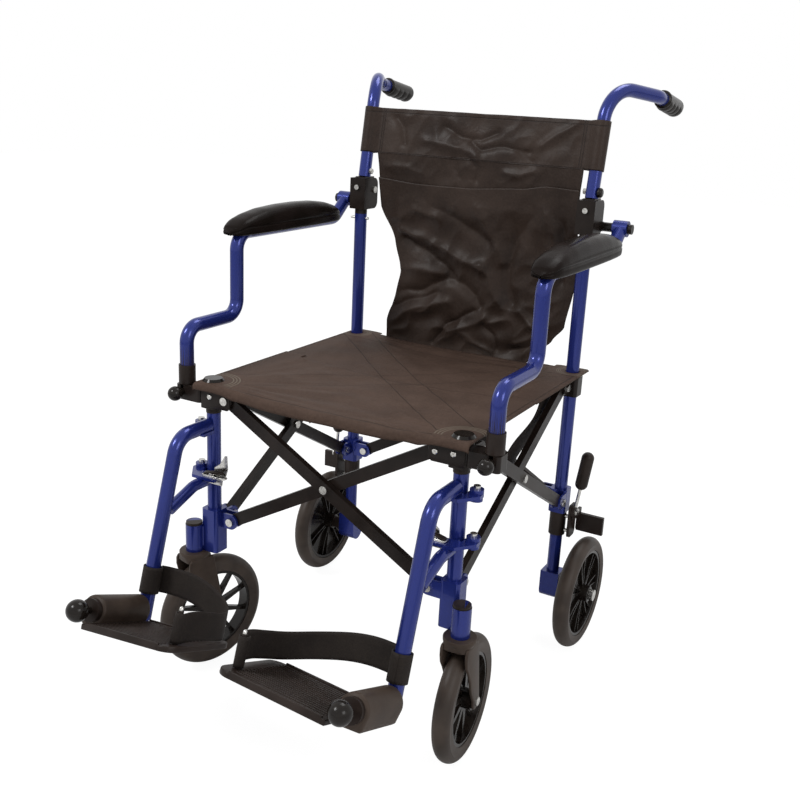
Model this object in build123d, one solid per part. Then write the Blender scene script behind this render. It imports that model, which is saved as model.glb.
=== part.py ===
from build123d import *
import os
from math import atan2, cos, degrees, radians, sin, sqrt

os.makedirs("parts", exist_ok=True)

# Folding transport wheelchair, millimetres. +Z is up and the chair faces -Y.
# The occupant's left hand is on +X. Left pieces are drawn in place and the right
# ones are their mirror images.

# Driving dimensions
POST_X = 216.0          # centre plane to the post axes
DEPTH = 420.0           # front post axis to rear post axis
REAR_Y = 235.0          # rear post axes behind the origin
TUBE_R = 11.1           # 22.2 mm (7/8 in) frame tube
WALL = 1.5
FIT = 0.05              # radial running fit of pins and axles
GAP = 0.3               # space between pieces that move past each other

PIVOT_Z = 270.0         # lower scissor pivots
RISE = 206.0            # upper pivots above them
PIVOT_IN = 34.0         # cross scissor pivots inboard of a post axis
BAR_H = 20.0
BAR_T = 10.0
BAR_SPACE = 2.0         # between the two bars of a scissor
PIVOT_R = 4.0
EAR_R = 12.5
EAR_T = 4.0
CORE = 15.5             # half width of the brackets round the posts

REAR_TOP = 722.0        # rear post ends
REAR_LOW = 78.0
FRONT_TOP = 449.0
CLAMP_LOW = 214.0       # lower end of the front post and of its bracket

REAR_R = 100.0          # 8 in rear wheels
REAR_W = 29.0
REAR_RIM_R = 78.0
REAR_WHEEL_OUT = 54.0   # wheel plane outboard of the post
REAR_AXLE_Y = -5.0      # axle from the post axis
CASTER_R = 96.0
CASTER_W = 28.0
CASTER_RIM_R = 70.0
CASTER_OUT = 25.0       # caster stem outboard of the front post
CASTER_AHEAD = 21.0
TRAIL = 31.0
TURN_LEFT = 5.0         # rest headings of the casters, degrees
TURN_RIGHT = -16.0
STEM_R = 8.0

ARM_OUT = 49.0          # armrest plane outboard of the posts
ARM_Z = 710.0           # armrest tube under its pad
ARM_STEP_Z = 577.0      # lower run of the armrest tube
ARM_PIN_BACK = 25.0
ARM_PIN_Z = 743.0
ARM_PIN_R = 5.0
ARM_EYE = 12.0          # half width of the eye at the end of the armrest tube
PAD_L = 300.0
PAD_W = 52.0

BACK_PIN_BACK = 18.0
BACK_PIN_Z = 765.0
CHEEK_IN = 11.6         # half width between the cheeks of the back hinge
HANDLE_OUT = 54.0
HANDLE_BACK = 252.0
GRIP_L = 84.0
GRIP_R = 14.5

SEAT_Z = 497.0
CLOTH_T = 3.0
CAP_SCREW_R = 4.0

STUD_OUT = 25.0         # leg rest studs outboard of the front post
STUD_R = 5.0
LEG_Z = 430.0
LEG_REACH = 84.0        # front post axis to the bend of a leg rest
BRACE_Z = 340.0
FOOT_TILT = 23.5        # footplates rise forward, degrees
FOOT_REACH = 176.0      # footplate hub ahead of the front post
FOOT_Z = 184.0
HUB_L = 97.0
HUB_R = 22.0
HUB_AHEAD = 14.0        # rear face of the hub ahead of the leg tube's axis
SPINDLE_R = 9.0
FOOT_W = 179.0          # hub axis to the inner edge of a footplate

# Worked out from them
FRONT_Y = REAR_Y - DEPTH
SPAN = 2 * (POST_X - PIVOT_IN)
PIVOT_BACK = (DEPTH - SPAN) / 2
TOP_Z = PIVOT_Z + RISE
BAR_OFF = (BAR_T + BAR_SPACE) / 2
BAR_L = sqrt(SPAN**2 + RISE**2)
BAR_LEAN = degrees(atan2(RISE, SPAN))
BORE_R = TUBE_R - WALL
ARM_X = POST_X + ARM_OUT
X = (1, 0, 0)
Y = (0, 1, 0)
Z = (0, 0, 1)


def cyl(p, d, r, h):
    """Cylinder of radius r and length h from point p along direction d."""
    return Solid.make_cylinder(r, h, Plane(origin=p, z_dir=d))


def ring(p, d, r, r_in, h):
    return cyl(p, d, r, h) - cyl(p, d, r_in, h)


def ball(p, r):
    return Solid.make_sphere(r).moved(Location(tuple(p)))


def box(x0, x1, y0, y1, z0, z1):
    return Solid.make_box(x1 - x0, y1 - y0, z1 - z0).moved(Location((x0, y0, z0)))


def slab(points, z, t):
    """Flat plate of thickness t over an outline in X and Y."""
    face = make_face(Polyline(*points, close=True))
    return extrude(face, t, dir=Z).moved(Location((0, 0, z)))


def pipe(points, radii, r, r_in=None):
    """Round tube or rod along straight runs joined by tangent arcs."""
    path = FilletPolyline(*points, radius=radii)
    section = Circle(r) - Circle(r_in) if r_in else Circle(r)
    return sweep(Plane(origin=path @ 0, z_dir=path % 0) * section, path=path)


def save(name, *pieces):
    solids = [s for p in pieces for s in p.solids()]
    export_step(solids[0] if len(solids) == 1 else Compound(children=solids), f"parts/{name}.step")


def both(name, *pieces):
    save(name + "_left", *pieces)
    save(name + "_right", *[p.mirror(Plane.YZ) for p in pieces])


def sides(name, y, make, left, right):
    """Save make(offset) at the left post and make's mirror image at the right."""
    place = Location((POST_X, y, 0))
    save(name + "_left", *[p.moved(place) for p in make(left)])
    save(name + "_right", *[p.moved(place).mirror(Plane.YZ) for p in make(right)])


# Scissor frame. Each scissor has two flat bars side by side. On a side the outer
# bar rises to the front. Across the front and the rear, bar A rises to the left.
SIDE_OUTER = BAR_OFF
SIDE_INNER = -BAR_OFF
FRONT_A = BAR_OFF       # bar A behind bar B across the front
FRONT_B = -BAR_OFF
REAR_A = -BAR_OFF
REAR_B = BAR_OFF


def ears(reach, z, middle):
    """Clevis and bolt for a bar, reaching towards -X; middle is the bar's Y."""
    near = BAR_T / 2 + GAP
    far = near + EAR_T
    out = cyl((-reach, middle - far - 4, z), Y, PIVOT_R, 2 * far + 8)
    for y in (middle - far, middle + near):
        out = out + box(-reach, 4 - CORE, y, y + EAR_T, z - EAR_R, z + EAR_R)
        out = out + cyl((-reach, y, z), Y, EAR_R, EAR_T)
    return out + cyl((-reach, middle - far - 4, z), Y, 6.5, 4) + cyl((-reach, middle + far, z), Y, 6, 4)


def bracket(z, z0, z1, bore, cross, side, faces):
    """Body round a post with a clevis inboard and one towards the other post."""
    b = box(-CORE, CORE, -CORE, CORE, z0, z1)
    b = fillet(b.edges().filter_by(Axis.Z), 6)
    b = b + ears(PIVOT_IN, z, cross)
    b = b + ears(PIVOT_BACK, z, side * faces).rotate(Axis.Z, -90 * faces)
    return b - cyl((0, 0, z0 - 1), Z, bore, z1 - z0 + 2)


def bar(bolt):
    """Flat bar along X from its foot hole; a bolt goes on into the bar at +Y."""
    half = BAR_T / 2
    b = box(0, BAR_L, -half, half, -BAR_H / 2, BAR_H / 2)
    for x in (0, BAR_L):
        b = b + cyl((x, -half, 0), Y, BAR_H / 2, BAR_T)
    for x in (0, BAR_L) if bolt else (0, BAR_L / 2, BAR_L):
        b = b - cyl((x, -BAR_T, 0), Y, PIVOT_R + FIT, 2 * BAR_T)
    if bolt:
        far = 2 * BAR_OFF + half + GAP
        b = b + cyl((BAR_L / 2, -half - 3.5, 0), Y, 6.5, 3.5)
        b = b + cyl((BAR_L / 2, half, 0), Y, PIVOT_R, far - half + 3.5)
        b = b + cyl((BAR_L / 2, far, 0), Y, 6.5, 3.5)
    return b.rotate(Axis.Y, -BAR_LEAN)


foot_x = POST_X - PIVOT_IN
plain_bar = bar(False)
bolt_bar = bar(True)
save("front_bar_a", plain_bar.moved(Location((-foot_x, FRONT_Y + FRONT_A, PIVOT_Z))))
save("front_bar_b", bolt_bar.mirror(Plane.YZ).moved(Location((foot_x, FRONT_Y + FRONT_B, PIVOT_Z))))
save("rear_bar_a", bolt_bar.moved(Location((-foot_x, REAR_Y + REAR_A, PIVOT_Z))))
save("rear_bar_b", plain_bar.mirror(Plane.YZ).moved(Location((foot_x, REAR_Y + REAR_B, PIVOT_Z))))
outer = bolt_bar.mirror(Plane.XZ).rotate(Axis.Z, -90)
inner = plain_bar.rotate(Axis.Z, 90)
both("side_bar_outer", outer.moved(Location((POST_X + SIDE_OUTER, REAR_Y - PIVOT_BACK, PIVOT_Z))))
both("side_bar_inner", inner.moved(Location((POST_X + SIDE_INNER, FRONT_Y + PIVOT_BACK, PIVOT_Z))))

# Rear posts, with the lower bracket, the brake sleeve and the axle bracket.
SLEEVE_LOW = 199.0
RING_LOW = 243.0
BRAKE_X = 29.0          # brake lever plate outboard of the post
BRAKE_Y = -8.0
BRAKE_Z = 250.0
AXLE_R = 6.0
HUB_W = 40.0


def rear_post(cross):
    post = ring((0, 0, REAR_LOW), Z, TUBE_R, BORE_R, REAR_TOP - REAR_LOW)
    lower = bracket(PIVOT_Z, RING_LOW, 286, TUBE_R, cross, SIDE_OUTER, -1)
    plate = box(BRAKE_X - 5, BRAKE_X - GAP, -18, 12, SLEEVE_LOW + 2, BRAKE_Z + 12)
    sleeve = cyl((0, 0, SLEEVE_LOW), Z, 14.5, RING_LOW - SLEEVE_LOW) + fillet(plate.edges().filter_by(Axis.X), 8)
    for z in (SLEEVE_LOW + 9, RING_LOW - 8):
        sleeve = sleeve + cyl((0, 0, z), X, 3.5, BRAKE_X - 2)
    sleeve = sleeve - cyl((0, 0, SLEEVE_LOW - 1), Z, TUBE_R, RING_LOW - SLEEVE_LOW + 2)
    sleeve = sleeve + cyl((BRAKE_X - 3, BRAKE_Y, BRAKE_Z), X, PIVOT_R, 12)
    sleeve = sleeve + cyl((BRAKE_X + 5 + GAP, BRAKE_Y, BRAKE_Z), X, 6.5, 4)
    wheel_in = REAR_WHEEL_OUT - HUB_W / 2
    wheel_out = REAR_WHEEL_OUT + HUB_W / 2
    axle = box(-17, 17, -16, 16, 90, 126) + cyl((-17, 0, 90), X, 16, 34)
    axle = axle + cyl((16, REAR_AXLE_Y, REAR_R), X, 11, wheel_in - 16 - GAP)
    axle = axle - cyl((0, 0, REAR_LOW), Z, TUBE_R, 60)
    axle = axle + cyl((16, REAR_AXLE_Y, REAR_R), X, AXLE_R, wheel_out - 16 + 8)
    axle = axle + cyl((wheel_out + GAP, REAR_AXLE_Y, REAR_R), X, 10, 8)
    return [post, lower, sleeve, axle]


sides("rear_post", REAR_Y, rear_post, REAR_B, REAR_A)

# Front posts, with the lower bracket, the caster housing and the leg rest studs.
HOUSING_TOP = 260.0
STUD_LOW = 348.0        # lower hinge plate of the leg rest
STUD_HIGH = 419.0
PLATE_T = 5.0


def front_post(cross):
    post = ring((0, 0, CLAMP_LOW), Z, TUBE_R, BORE_R, FRONT_TOP - CLAMP_LOW)
    collar = ring((0, 0, FRONT_TOP), Z, 12, BORE_R + GAP, 7.5)
    lower = bracket(PIVOT_Z, CLAMP_LOW, 287, TUBE_R, cross, SIDE_INNER, 1)
    stem = (CASTER_OUT, -CASTER_AHEAD, CLAMP_LOW)
    web = box(8, 22, -5, 5, CLAMP_LOW + 8, HOUSING_TOP - 4)
    lower = lower + cyl(stem, Z, 14, HOUSING_TOP - CLAMP_LOW)
    lower = lower + web.rotate(Axis.Z, -degrees(atan2(CASTER_AHEAD, CASTER_OUT)))
    lower = lower - cyl((0, 0, CLAMP_LOW - 1), Z, TUBE_R, 90) - cyl(stem, Z, STEM_R + FIT, 60)
    cap = cyl((CASTER_OUT, -CASTER_AHEAD, HOUSING_TOP), Z, 13, 4)
    studs = []
    for z in (STUD_LOW, STUD_HIGH):
        lug = slab([(8, -9), (STUD_OUT, -9), (STUD_OUT, 9), (8, 9)], z - GAP - 6, 6)
        lug = lug + cyl((STUD_OUT, 0, z - GAP - 6), Z, 9, 6)
        lug = lug - cyl((0, 0, z - 10), Z, TUBE_R, 12)
        studs.append(lug + cyl((STUD_OUT, 0, z - 3), Z, STUD_R, 3 + PLATE_T + 11))
    return [post, collar, lower, cap] + studs


sides("front_post", FRONT_Y, front_post, FRONT_B, FRONT_A)

# Upper blocks: the rear ones slide on their posts. A front one is carried by an
# inner tube that telescopes in its post, and holds the armrest's foot.
BLOCK_LOW = 457.3
BLOCK_TOP = 490.0
INNER_R = BORE_R - 0.4
PLUNGER_R = 3.0
PLUNGER_Z = 477.0
SOCKET_TOP = 487.5
TONGUE = (5.0, 7.0, 6.0)   # width, length and depth of the armrest's foot


def rear_block(cross):
    b = bracket(TOP_Z, BLOCK_LOW, BLOCK_TOP, TUBE_R + GAP, cross, SIDE_INNER, -1)
    return [b + ring((0, 0, BLOCK_TOP), Z, CORE, TUBE_R + GAP, SEAT_Z - BLOCK_TOP)]


def front_block(cross):
    b = bracket(TOP_Z, BLOCK_LOW, BLOCK_TOP, INNER_R, cross, SIDE_OUTER, 1)
    socket = box(CORE - 3, ARM_OUT + 13, -17, 13, 464, SOCKET_TOP)
    b = b + fillet(socket.edges().filter_by(Axis.Z), 6)
    b = b - box(ARM_OUT - 3, ARM_OUT + 3, -20, 1, SOCKET_TOP - TONGUE[2], SOCKET_TOP + 3)
    b = b - cyl((ARM_OUT, -20, PLUNGER_Z), Y, PLUNGER_R + FIT, 24)
    tube = ring((0, 0, CLAMP_LOW + 3), Z, INNER_R, INNER_R - WALL, BLOCK_TOP - CLAMP_LOW - 3)
    cap = cyl((0, 0, BLOCK_TOP), Z, CORE, SEAT_Z - BLOCK_TOP)
    cap = cap + cyl((0, 0, SEAT_Z), Z, CAP_SCREW_R, CLOTH_T + GAP)
    cap = cap + Cone(17, 14, 4).moved(Location((0, 0, SEAT_Z + CLOTH_T + GAP + 2)))
    return [b, tube, cap]


sides("rear_block", REAR_Y, rear_block, REAR_A, REAR_B)
sides("front_block", FRONT_Y, front_block, FRONT_A, FRONT_B)

# Back hinge: black clevis on the rear post, closed in front and open behind.
HINGE_LOW = 731.0
HINGE_TOP = 786.0
hinge = box(-CORE, CORE, -15, 31, HINGE_LOW, HINGE_TOP)
hinge = fillet(hinge.edges().filter_by(Axis.X).group_by(Axis.Y)[-1], 12)
hinge = hinge - box(-CHEEK_IN, CHEEK_IN, -11, 40, HINGE_LOW + 13, HINGE_TOP + 1)
hinge = hinge - box(-CHEEK_IN, CHEEK_IN, 10, 40, HINGE_LOW - 1, HINGE_TOP + 1)
hinge = hinge + cyl((0, 0, REAR_TOP - 14), Z, BORE_R, 24) + cyl((0, 0, REAR_TOP), Z, TUBE_R, 10)
hinge = hinge + cyl((-CORE - 3, BACK_PIN_BACK, BACK_PIN_Z), X, PIVOT_R, 2 * CORE + 3)
hinge = hinge + cyl((-CORE - 3, BACK_PIN_BACK, BACK_PIN_Z), X, 6, 3)
hinge = hinge + cyl((0, -19, BACK_PIN_Z + 5), Y, 4.5, 4)
hinge = hinge + cyl((CORE, ARM_PIN_BACK, ARM_PIN_Z), X, 8, 3)
hinge = hinge - cyl((CHEEK_IN, ARM_PIN_BACK, ARM_PIN_Z), X, ARM_PIN_R + FIT, 20)
screw = cyl((-16, 0, REAR_TOP - 8), X, 2.5, 36) - cyl((0, 0, REAR_TOP - 20), Z, TUBE_R, 24)
both("hinge_bracket", *[p.moved(Location((POST_X, REAR_Y, 0))) for p in (hinge, screw)])

# Push handles: bent tube with a tongue in the hinge, and a ribbed grip.
tube_low = Vector(POST_X, REAR_Y + 5, HINGE_TOP + 2)
bend_1 = Vector(POST_X, REAR_Y + 29, 940)
bend_2 = Vector(POST_X + HANDLE_OUT, REAR_Y + HANDLE_BACK - 98, 958)
handle_end = Vector(POST_X + HANDLE_OUT + 2, REAR_Y + HANDLE_BACK, 934)
back_tube = pipe([tube_low, bend_1, bend_2, handle_end], [40, 24], TUBE_R, BORE_R)
tongue_w = CHEEK_IN - 0.8
tongue = box(POST_X - tongue_w, POST_X + tongue_w, REAR_Y - 8, REAR_Y + 27, BACK_PIN_Z - 10, HINGE_TOP)
tongue = tongue + cyl(tube_low - Vector(0, 0, 2), Z, tongue_w, 2)
tongue = tongue - cyl((POST_X - 20, REAR_Y + BACK_PIN_BACK, BACK_PIN_Z), X, PIVOT_R + FIT, 40)
LOCK_Z = HINGE_TOP + 12
LOCK_R = 3.0
LOCK_KNOB_R = 8.0
tube_dir = (bend_1 - tube_low).normalized()
tube_in = cyl(tube_low - tube_dir * 20, tube_dir, TUBE_R, 80)
lock_hole = cyl((0, tube_low.Y + 1.5, LOCK_Z), X, LOCK_R + FIT, POST_X + 30)
nut = cyl((POST_X - 15, tube_low.Y + 1.5, LOCK_Z), X, 5, 6) - tube_in
save("back_tube_left", back_tube - lock_hole, tongue, nut)
save("back_tube_right", *[p.mirror(Plane.YZ) for p in (back_tube, tongue, nut)])
lock = cyl((POST_X + 2, tube_low.Y + 1.5, LOCK_Z), X, LOCK_R, 14)
lock_x = POST_X + TUBE_R + GAP
dome = cyl((lock_x, tube_low.Y + 1.5, LOCK_Z), X, LOCK_KNOB_R, 7)
lock = lock + fillet(dome.edges().group_by(Axis.X)[-1], 4)
save("back_lock_knob", lock)

g_dir = (handle_end - bend_2).normalized()
g_low = handle_end - g_dir * GRIP_L
grip = ring(g_low, g_dir, GRIP_R, TUBE_R, GRIP_L) + cyl(handle_end, g_dir, GRIP_R, 5)
for i in range(4):
    grip = grip + ring(g_low + g_dir * (10 + 18 * i), g_dir, GRIP_R + 1.5, TUBE_R, 7)
both("grip", grip)

# Armrests: tube with a tongue in the front block's socket, hinged at the rear.
arm_front_y = FRONT_Y - 4
arm_step_y = FRONT_Y + 120
arm_pin_y = REAR_Y + ARM_PIN_BACK
rise = 1.2
arm_points = [(ARM_X, arm_front_y, SOCKET_TOP + 1.5), (ARM_X, arm_front_y, ARM_STEP_Z),
              (ARM_X, arm_step_y, ARM_STEP_Z), (ARM_X, arm_step_y, ARM_Z),
              (ARM_X, arm_pin_y - rise * (ARM_PIN_Z - ARM_Z), ARM_Z), (ARM_X, arm_pin_y, ARM_PIN_Z)]
arm_line = pipe(arm_points, [26, 26, 28, 30], TUBE_R)
arm = pipe(arm_points, [26, 26, 28, 30], TUBE_R, BORE_R)
arm = arm + cyl((ARM_X - ARM_EYE, arm_pin_y, ARM_PIN_Z), X, 13, 2 * ARM_EYE)
arm = arm - cyl((ARM_X - 20, arm_pin_y, ARM_PIN_Z), X, ARM_PIN_R + FIT, 40)
sleeve_low = SOCKET_TOP + 0.7
sleeve = cyl((ARM_X, arm_front_y, sleeve_low), Z, 13.2, 30)
sleeve = sleeve - cyl((ARM_X, arm_front_y, SOCKET_TOP + 1.5), Z, TUBE_R, 40)
sleeve = sleeve + box(ARM_X - TONGUE[0] / 2, ARM_X + TONGUE[0] / 2, arm_front_y - 3,
                      arm_front_y + TONGUE[1] - 3, sleeve_low - TONGUE[2] + 1, sleeve_low)
both("arm_tube", arm, sleeve)

pad = box(-PAD_W / 2, PAD_W / 2, 0, PAD_L, 0, 41)
pad = fillet(pad.edges().filter_by(Axis.Y).group_by(Axis.Z)[-1], 18)
pad = fillet(pad.edges().filter_by(Axis.Z), 14)
pad = pad.moved(Location((ARM_X + 1, FRONT_Y + 102, ARM_Z - 2))) - arm_line
both("arm_pad", pad)

collar_x = POST_X + CORE + 3 + GAP
arm_pin = cyl((POST_X + CHEEK_IN + GAP, arm_pin_y, ARM_PIN_Z), X, ARM_PIN_R, ARM_OUT + 4)
arm_pin = arm_pin + cyl((collar_x, arm_pin_y, ARM_PIN_Z), X, 7.5, ARM_X - ARM_EYE - GAP - collar_x)
arm_pin = arm_pin + cyl((ARM_X + ARM_EYE + GAP, arm_pin_y, ARM_PIN_Z), X, 8, 7)
both("arm_pin", arm_pin)

KNOB_R = 11.5
ARM_KNOB_TRAVEL = 6.0
arm_knob = cyl((ARM_X, FRONT_Y - 1, PLUNGER_Z), (0, -1, 0), PLUNGER_R, 24)
arm_knob = arm_knob + cyl((ARM_X, FRONT_Y - 17 - GAP, PLUNGER_Z), (0, -1, 0), 6, 6)
both("arm_knob", arm_knob + ball((ARM_X, FRONT_Y - 17 - GAP - 4 - KNOB_R, PLUNGER_Z), KNOB_R))

# Swing-away leg rests: two hinge plates pass in front of the post to its studs.
stud_x = POST_X + STUD_OUT


def hinge_plate(inboard, z):
    front = TUBE_R + 2.5
    p = slab([(inboard, -front - 24), (14, -front - 24), (STUD_OUT + 10, -10), (STUD_OUT + 10, 0),
              (front, 0), (front, -front), (inboard, -front)], z, PLATE_T)
    return (p + cyl((STUD_OUT, 0, z), Z, 10, PLATE_T + 6)).moved(Location((POST_X, FRONT_Y, 0)))


leg_y = FRONT_Y - LEG_REACH
foot_y = FRONT_Y - FOOT_REACH
foot_dir = Vector(0, -cos(radians(FOOT_TILT)), sin(radians(FOOT_TILT)))
plate_up = foot_dir.cross(Vector(X))
foot_at = Vector(POST_X, foot_y, FOOT_Z)
leg_bend = Vector(POST_X, leg_y, LEG_Z)
leg_foot = foot_at - foot_dir * HUB_AHEAD
leg_up = (leg_bend - leg_foot).normalized()
leg_points = [(POST_X, FRONT_Y - 15, LEG_Z), leg_bend, leg_foot - leg_up * 15]
leg = pipe(leg_points, [34], TUBE_R, BORE_R)
leg = leg + hinge_plate(-12, STUD_HIGH) + hinge_plate(-30, STUD_LOW)
brace = pipe([(POST_X, FRONT_Y - 20, BRACE_Z), (POST_X, FRONT_Y - 50, BRACE_Z),
              (POST_X, FRONT_Y - 106, BRACE_Z - 20)], [30], TUBE_R - 2)
leg = leg + (brace - pipe(leg_points, [34], BORE_R))
for z in (STUD_LOW, STUD_HIGH):
    leg = leg - cyl((stud_x, FRONT_Y, z - 1), Z, STUD_R + FIT, 20)
leg = leg + cyl(leg_foot, foot_dir, 12, HUB_AHEAD - GAP)
leg = leg - cyl(leg_foot + foot_dir, foot_dir, SPINDLE_R - 3 + FIT, HUB_AHEAD)
latch_y = FRONT_Y - TUBE_R - 16
latch_x = POST_X - 18
latch_z = STUD_LOW + PLATE_T
leg = leg + cyl((latch_x, latch_y, latch_z - 1), Z, PLUNGER_R, 6) + cyl((latch_x, latch_y, latch_z + 4), Z, 6, 3)
both("leg_hanger", leg)

lever = box(latch_x - 30, latch_x + 16, latch_y - 6, latch_y + 6, latch_z + GAP, latch_z + 4 - GAP)
lever = lever + box(latch_x - 32, latch_x - 29, latch_y - 8, latch_y + 8, latch_z - 12, latch_z + 38)
lever = lever - cyl((latch_x, latch_y, latch_z - 1), Z, PLUNGER_R + FIT, 8)
both("leg_latch", lever)

# Footplates turn up about hubs whose axes rise forward at the plates' tilt.
hub_place = Plane(origin=foot_at, x_dir=X, z_dir=plate_up).location
PLATE_TOP = -14.5
PLATE_BACK = 8.0        # rear edge of the plate behind the hub
TREAD = 139.0           # length of a footplate
RIBS = 9
hub = cyl((0, 0, 0), (0, -1, 0), HUB_R, HUB_L) + box(-17, 17, -HUB_L, 0, -24, 4)
plate = box(-FOOT_W, -16.5, PLATE_BACK - TREAD, PLATE_BACK, PLATE_TOP - 9, PLATE_TOP)
hub = hub + fillet(plate.edges().filter_by(Axis.Z).group_by(Axis.X)[0], 16)
for y in (PLATE_BACK - TREAD, PLATE_BACK - 4):
    hub = hub + box(14 - FOOT_W, -20, y, y + 4, PLATE_TOP - 9, PLATE_TOP + 2)
for i in range(RIBS):
    y = PLATE_BACK - (i + 1) * TREAD / (RIBS + 1)
    hub = hub + box(20 - FOOT_W, -24, y - 1.5, y + 1.5, PLATE_TOP - 1, PLATE_TOP + 1.2)
up = Vector(0, -leg_up.dot(foot_dir), leg_up.dot(plate_up))
stay = Vector(14 - FOOT_W, PLATE_BACK - 30, PLATE_TOP - 1)
hub = hub + cyl(stay, up, 4, 84)
hub = hub - cyl((0, -HUB_L - 1, 0), Y, SPINDLE_R + FIT, HUB_L + 2)
both("footplate", hub.moved(hub_place))

FOOT_KNOB_R = 16.0
PIN_IN = 16.0           # knob pin inside the spindle
spindle = cyl((0, HUB_AHEAD - 2, 0), (0, -1, 0), SPINDLE_R - 3, HUB_AHEAD) + cyl((0, 0, 0), (0, -1, 0), SPINDLE_R, HUB_L + 8)
spindle = spindle + cyl((0, -HUB_L - GAP, 0), (0, -1, 0), 17, 8)
spindle = spindle - cyl((0, -HUB_L + PIN_IN, 0), (0, -1, 0), 5 + FIT, 60)
both("foot_spindle", spindle.moved(hub_place))
foot_knob = cyl((0, -HUB_L + 4, 0), (0, -1, 0), 5, 30) + ball((0, -HUB_L - 16 - FOOT_KNOB_R, 0), FOOT_KNOB_R)
both("foot_knob", foot_knob.moved(hub_place))

# Heel strap: a band from the plate's stay that loops round the leg tube.
STRAP_H = 40.0
strap_at = Vector(0, HUB_AHEAD, 0) + up * 46
strap_frame = Plane(origin=strap_at, x_dir=X, z_dir=up)
stay_y = (stay - strap_at).dot(strap_frame.y_dir) + 4.1
loop_r = TUBE_R + 0.5
band = slab([(stay.X, stay_y), (-3, loop_r), (-3, loop_r + 2), (stay.X, stay_y + 2)], -STRAP_H / 2, STRAP_H)
strap = band + cyl((0, 0, -STRAP_H / 2), Z, loop_r + 2, STRAP_H) - cyl((0, 0, -STRAP_H), Z, loop_r, 80)
both("heel_strap", strap.moved(strap_frame.location).moved(hub_place))

# Casters: stem, crown and two legs; the wheel turns on the fork's bolt.
CASTER_AXLE_R = 4.0
leg_in = CASTER_W / 2 + 2.8
LEG_T = 4.5
CROWN_TOP = CLAMP_LOW - 0.5


def caster_fork():
    f = cyl((0, 0, CROWN_TOP), Z, STEM_R, HOUSING_TOP - CROWN_TOP - 2)
    top = CASTER_R + CASTER_R + 5
    f = f + cyl((0, 0, top), Z, 19, CROWN_TOP - top)
    outline = [(-18, CROWN_TOP - 4), (18, CROWN_TOP - 4), (TRAIL + 10, CASTER_R + 4),
               (TRAIL - 10, CASTER_R - 4)]
    side = extrude(make_face(Plane.YZ * Polyline(*outline, close=True)), LEG_T, dir=X)
    for x in (-leg_in - LEG_T, leg_in):
        f = f + side.moved(Location((x, 0, 0))) + cyl((x, TRAIL, CASTER_R), X, 11, LEG_T)
    crown = box(-leg_in - LEG_T, leg_in + LEG_T, -18, 18, top, CROWN_TOP - 4)
    f = f + fillet(crown.edges().filter_by(Axis.X).group_by(Axis.Z)[-1], 4)
    reach = leg_in + LEG_T + 3.5
    f = f + cyl((-reach, TRAIL, CASTER_R), X, CASTER_AXLE_R, 2 * reach)
    for x in (-reach, reach - 3.5):
        f = f + cyl((x, TRAIL, CASTER_R), X, 7, 3.5)
    return f


def tyre(r, w, r_in):
    """Tyre about the X axis with a crowned tread."""
    h = w / 2
    shoulder = r - 0.8 * h
    tread = ThreePointArc((-h, shoulder), (0, r), (h, shoulder))
    walls = Polyline((h, shoulder), (h - 2, r_in), (2 - h, r_in), (-h, shoulder))
    return revolve(make_face(Plane.XY * (tread + walls)), Axis.X)


def rim(r, w, hub_r, hub_w, bore, spokes):
    """Moulded wheel: a rim and a hub joined by spokes that taper outwards."""
    body = ring((-w / 2, 0, 0), X, r, r - 5, w) + ring((-hub_w / 2, 0, 0), X, hub_r, bore, hub_w)
    outline = [(-5, hub_r - 2), (5, hub_r - 2), (2.5, r - 3), (-2.5, r - 3)]
    spoke = extrude(make_face(Plane.YZ * Polyline(*outline, close=True)), 8, dir=X)
    for i in range(spokes):
        body = body + spoke.moved(Location((-4, 0, 0))).rotate(Axis.X, 360 * i / spokes)
    return body


wheel_at = Location((0, TRAIL, CASTER_R))
caster_tyre = tyre(CASTER_R, CASTER_W, CASTER_RIM_R).moved(wheel_at)
caster_rim = rim(CASTER_RIM_R, 22, 15, 2 * (leg_in - GAP), CASTER_AXLE_R + FIT, 10).moved(wheel_at)
fork = caster_fork()
stem_x = POST_X + CASTER_OUT
for side, turn, x in (("left", TURN_LEFT, stem_x), ("right", TURN_RIGHT, -stem_x)):
    place = Location((x, FRONT_Y - CASTER_AHEAD, 0), (0, 0, turn))
    save("caster_fork_" + side, fork.moved(place))
    save("caster_tyre_" + side, caster_tyre.moved(place))
    save("caster_rim_" + side, caster_rim.moved(place))

# Rear wheels turn on the stub axles of their brackets.
axle_at = Location((POST_X + REAR_WHEEL_OUT, REAR_Y + REAR_AXLE_Y, REAR_R))
both("rear_tyre", tyre(REAR_R, REAR_W, REAR_RIM_R).moved(axle_at))
both("rear_rim", rim(REAR_RIM_R, 23, 15, HUB_W, AXLE_R + FIT, 12).moved(axle_at))

# Brakes: pivot plate, shoe behind the top of the tyre, rod and grip.
SHOE_LOW = 205.0
lever = cyl((0, BRAKE_Y, BRAKE_Z), X, 10, 5) + box(0, 5, 14, 25, SHOE_LOW + 4, BRAKE_Z - 12)
lever = lever + slab([(0, BRAKE_Y - 6), (5, BRAKE_Y - 6), (5, 25), (0, 25)], BRAKE_Z - 14, 12)
lever = lever + box(0, 48, 18, 25, SHOE_LOW, BRAKE_Z - 12)
grip_low = Vector(7, 2, 300)
grip_high = Vector(11, 10, 346)
rod = Vector(4, BRAKE_Y + 1, BRAKE_Z + 9)
lever = lever + cyl(rod, grip_low - rod, 3, (grip_low - rod).length)
lever = lever + cyl(grip_low, grip_high - grip_low, 11, (grip_high - grip_low).length)
lever = lever + ball(grip_low, 11) + ball(grip_high, 11)
lever = lever - cyl((-20, BRAKE_Y, BRAKE_Z), X, PIVOT_R + FIT, 40)
both("brake_lever", lever.moved(Location((POST_X + BRAKE_X, REAR_Y, 0))))

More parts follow.
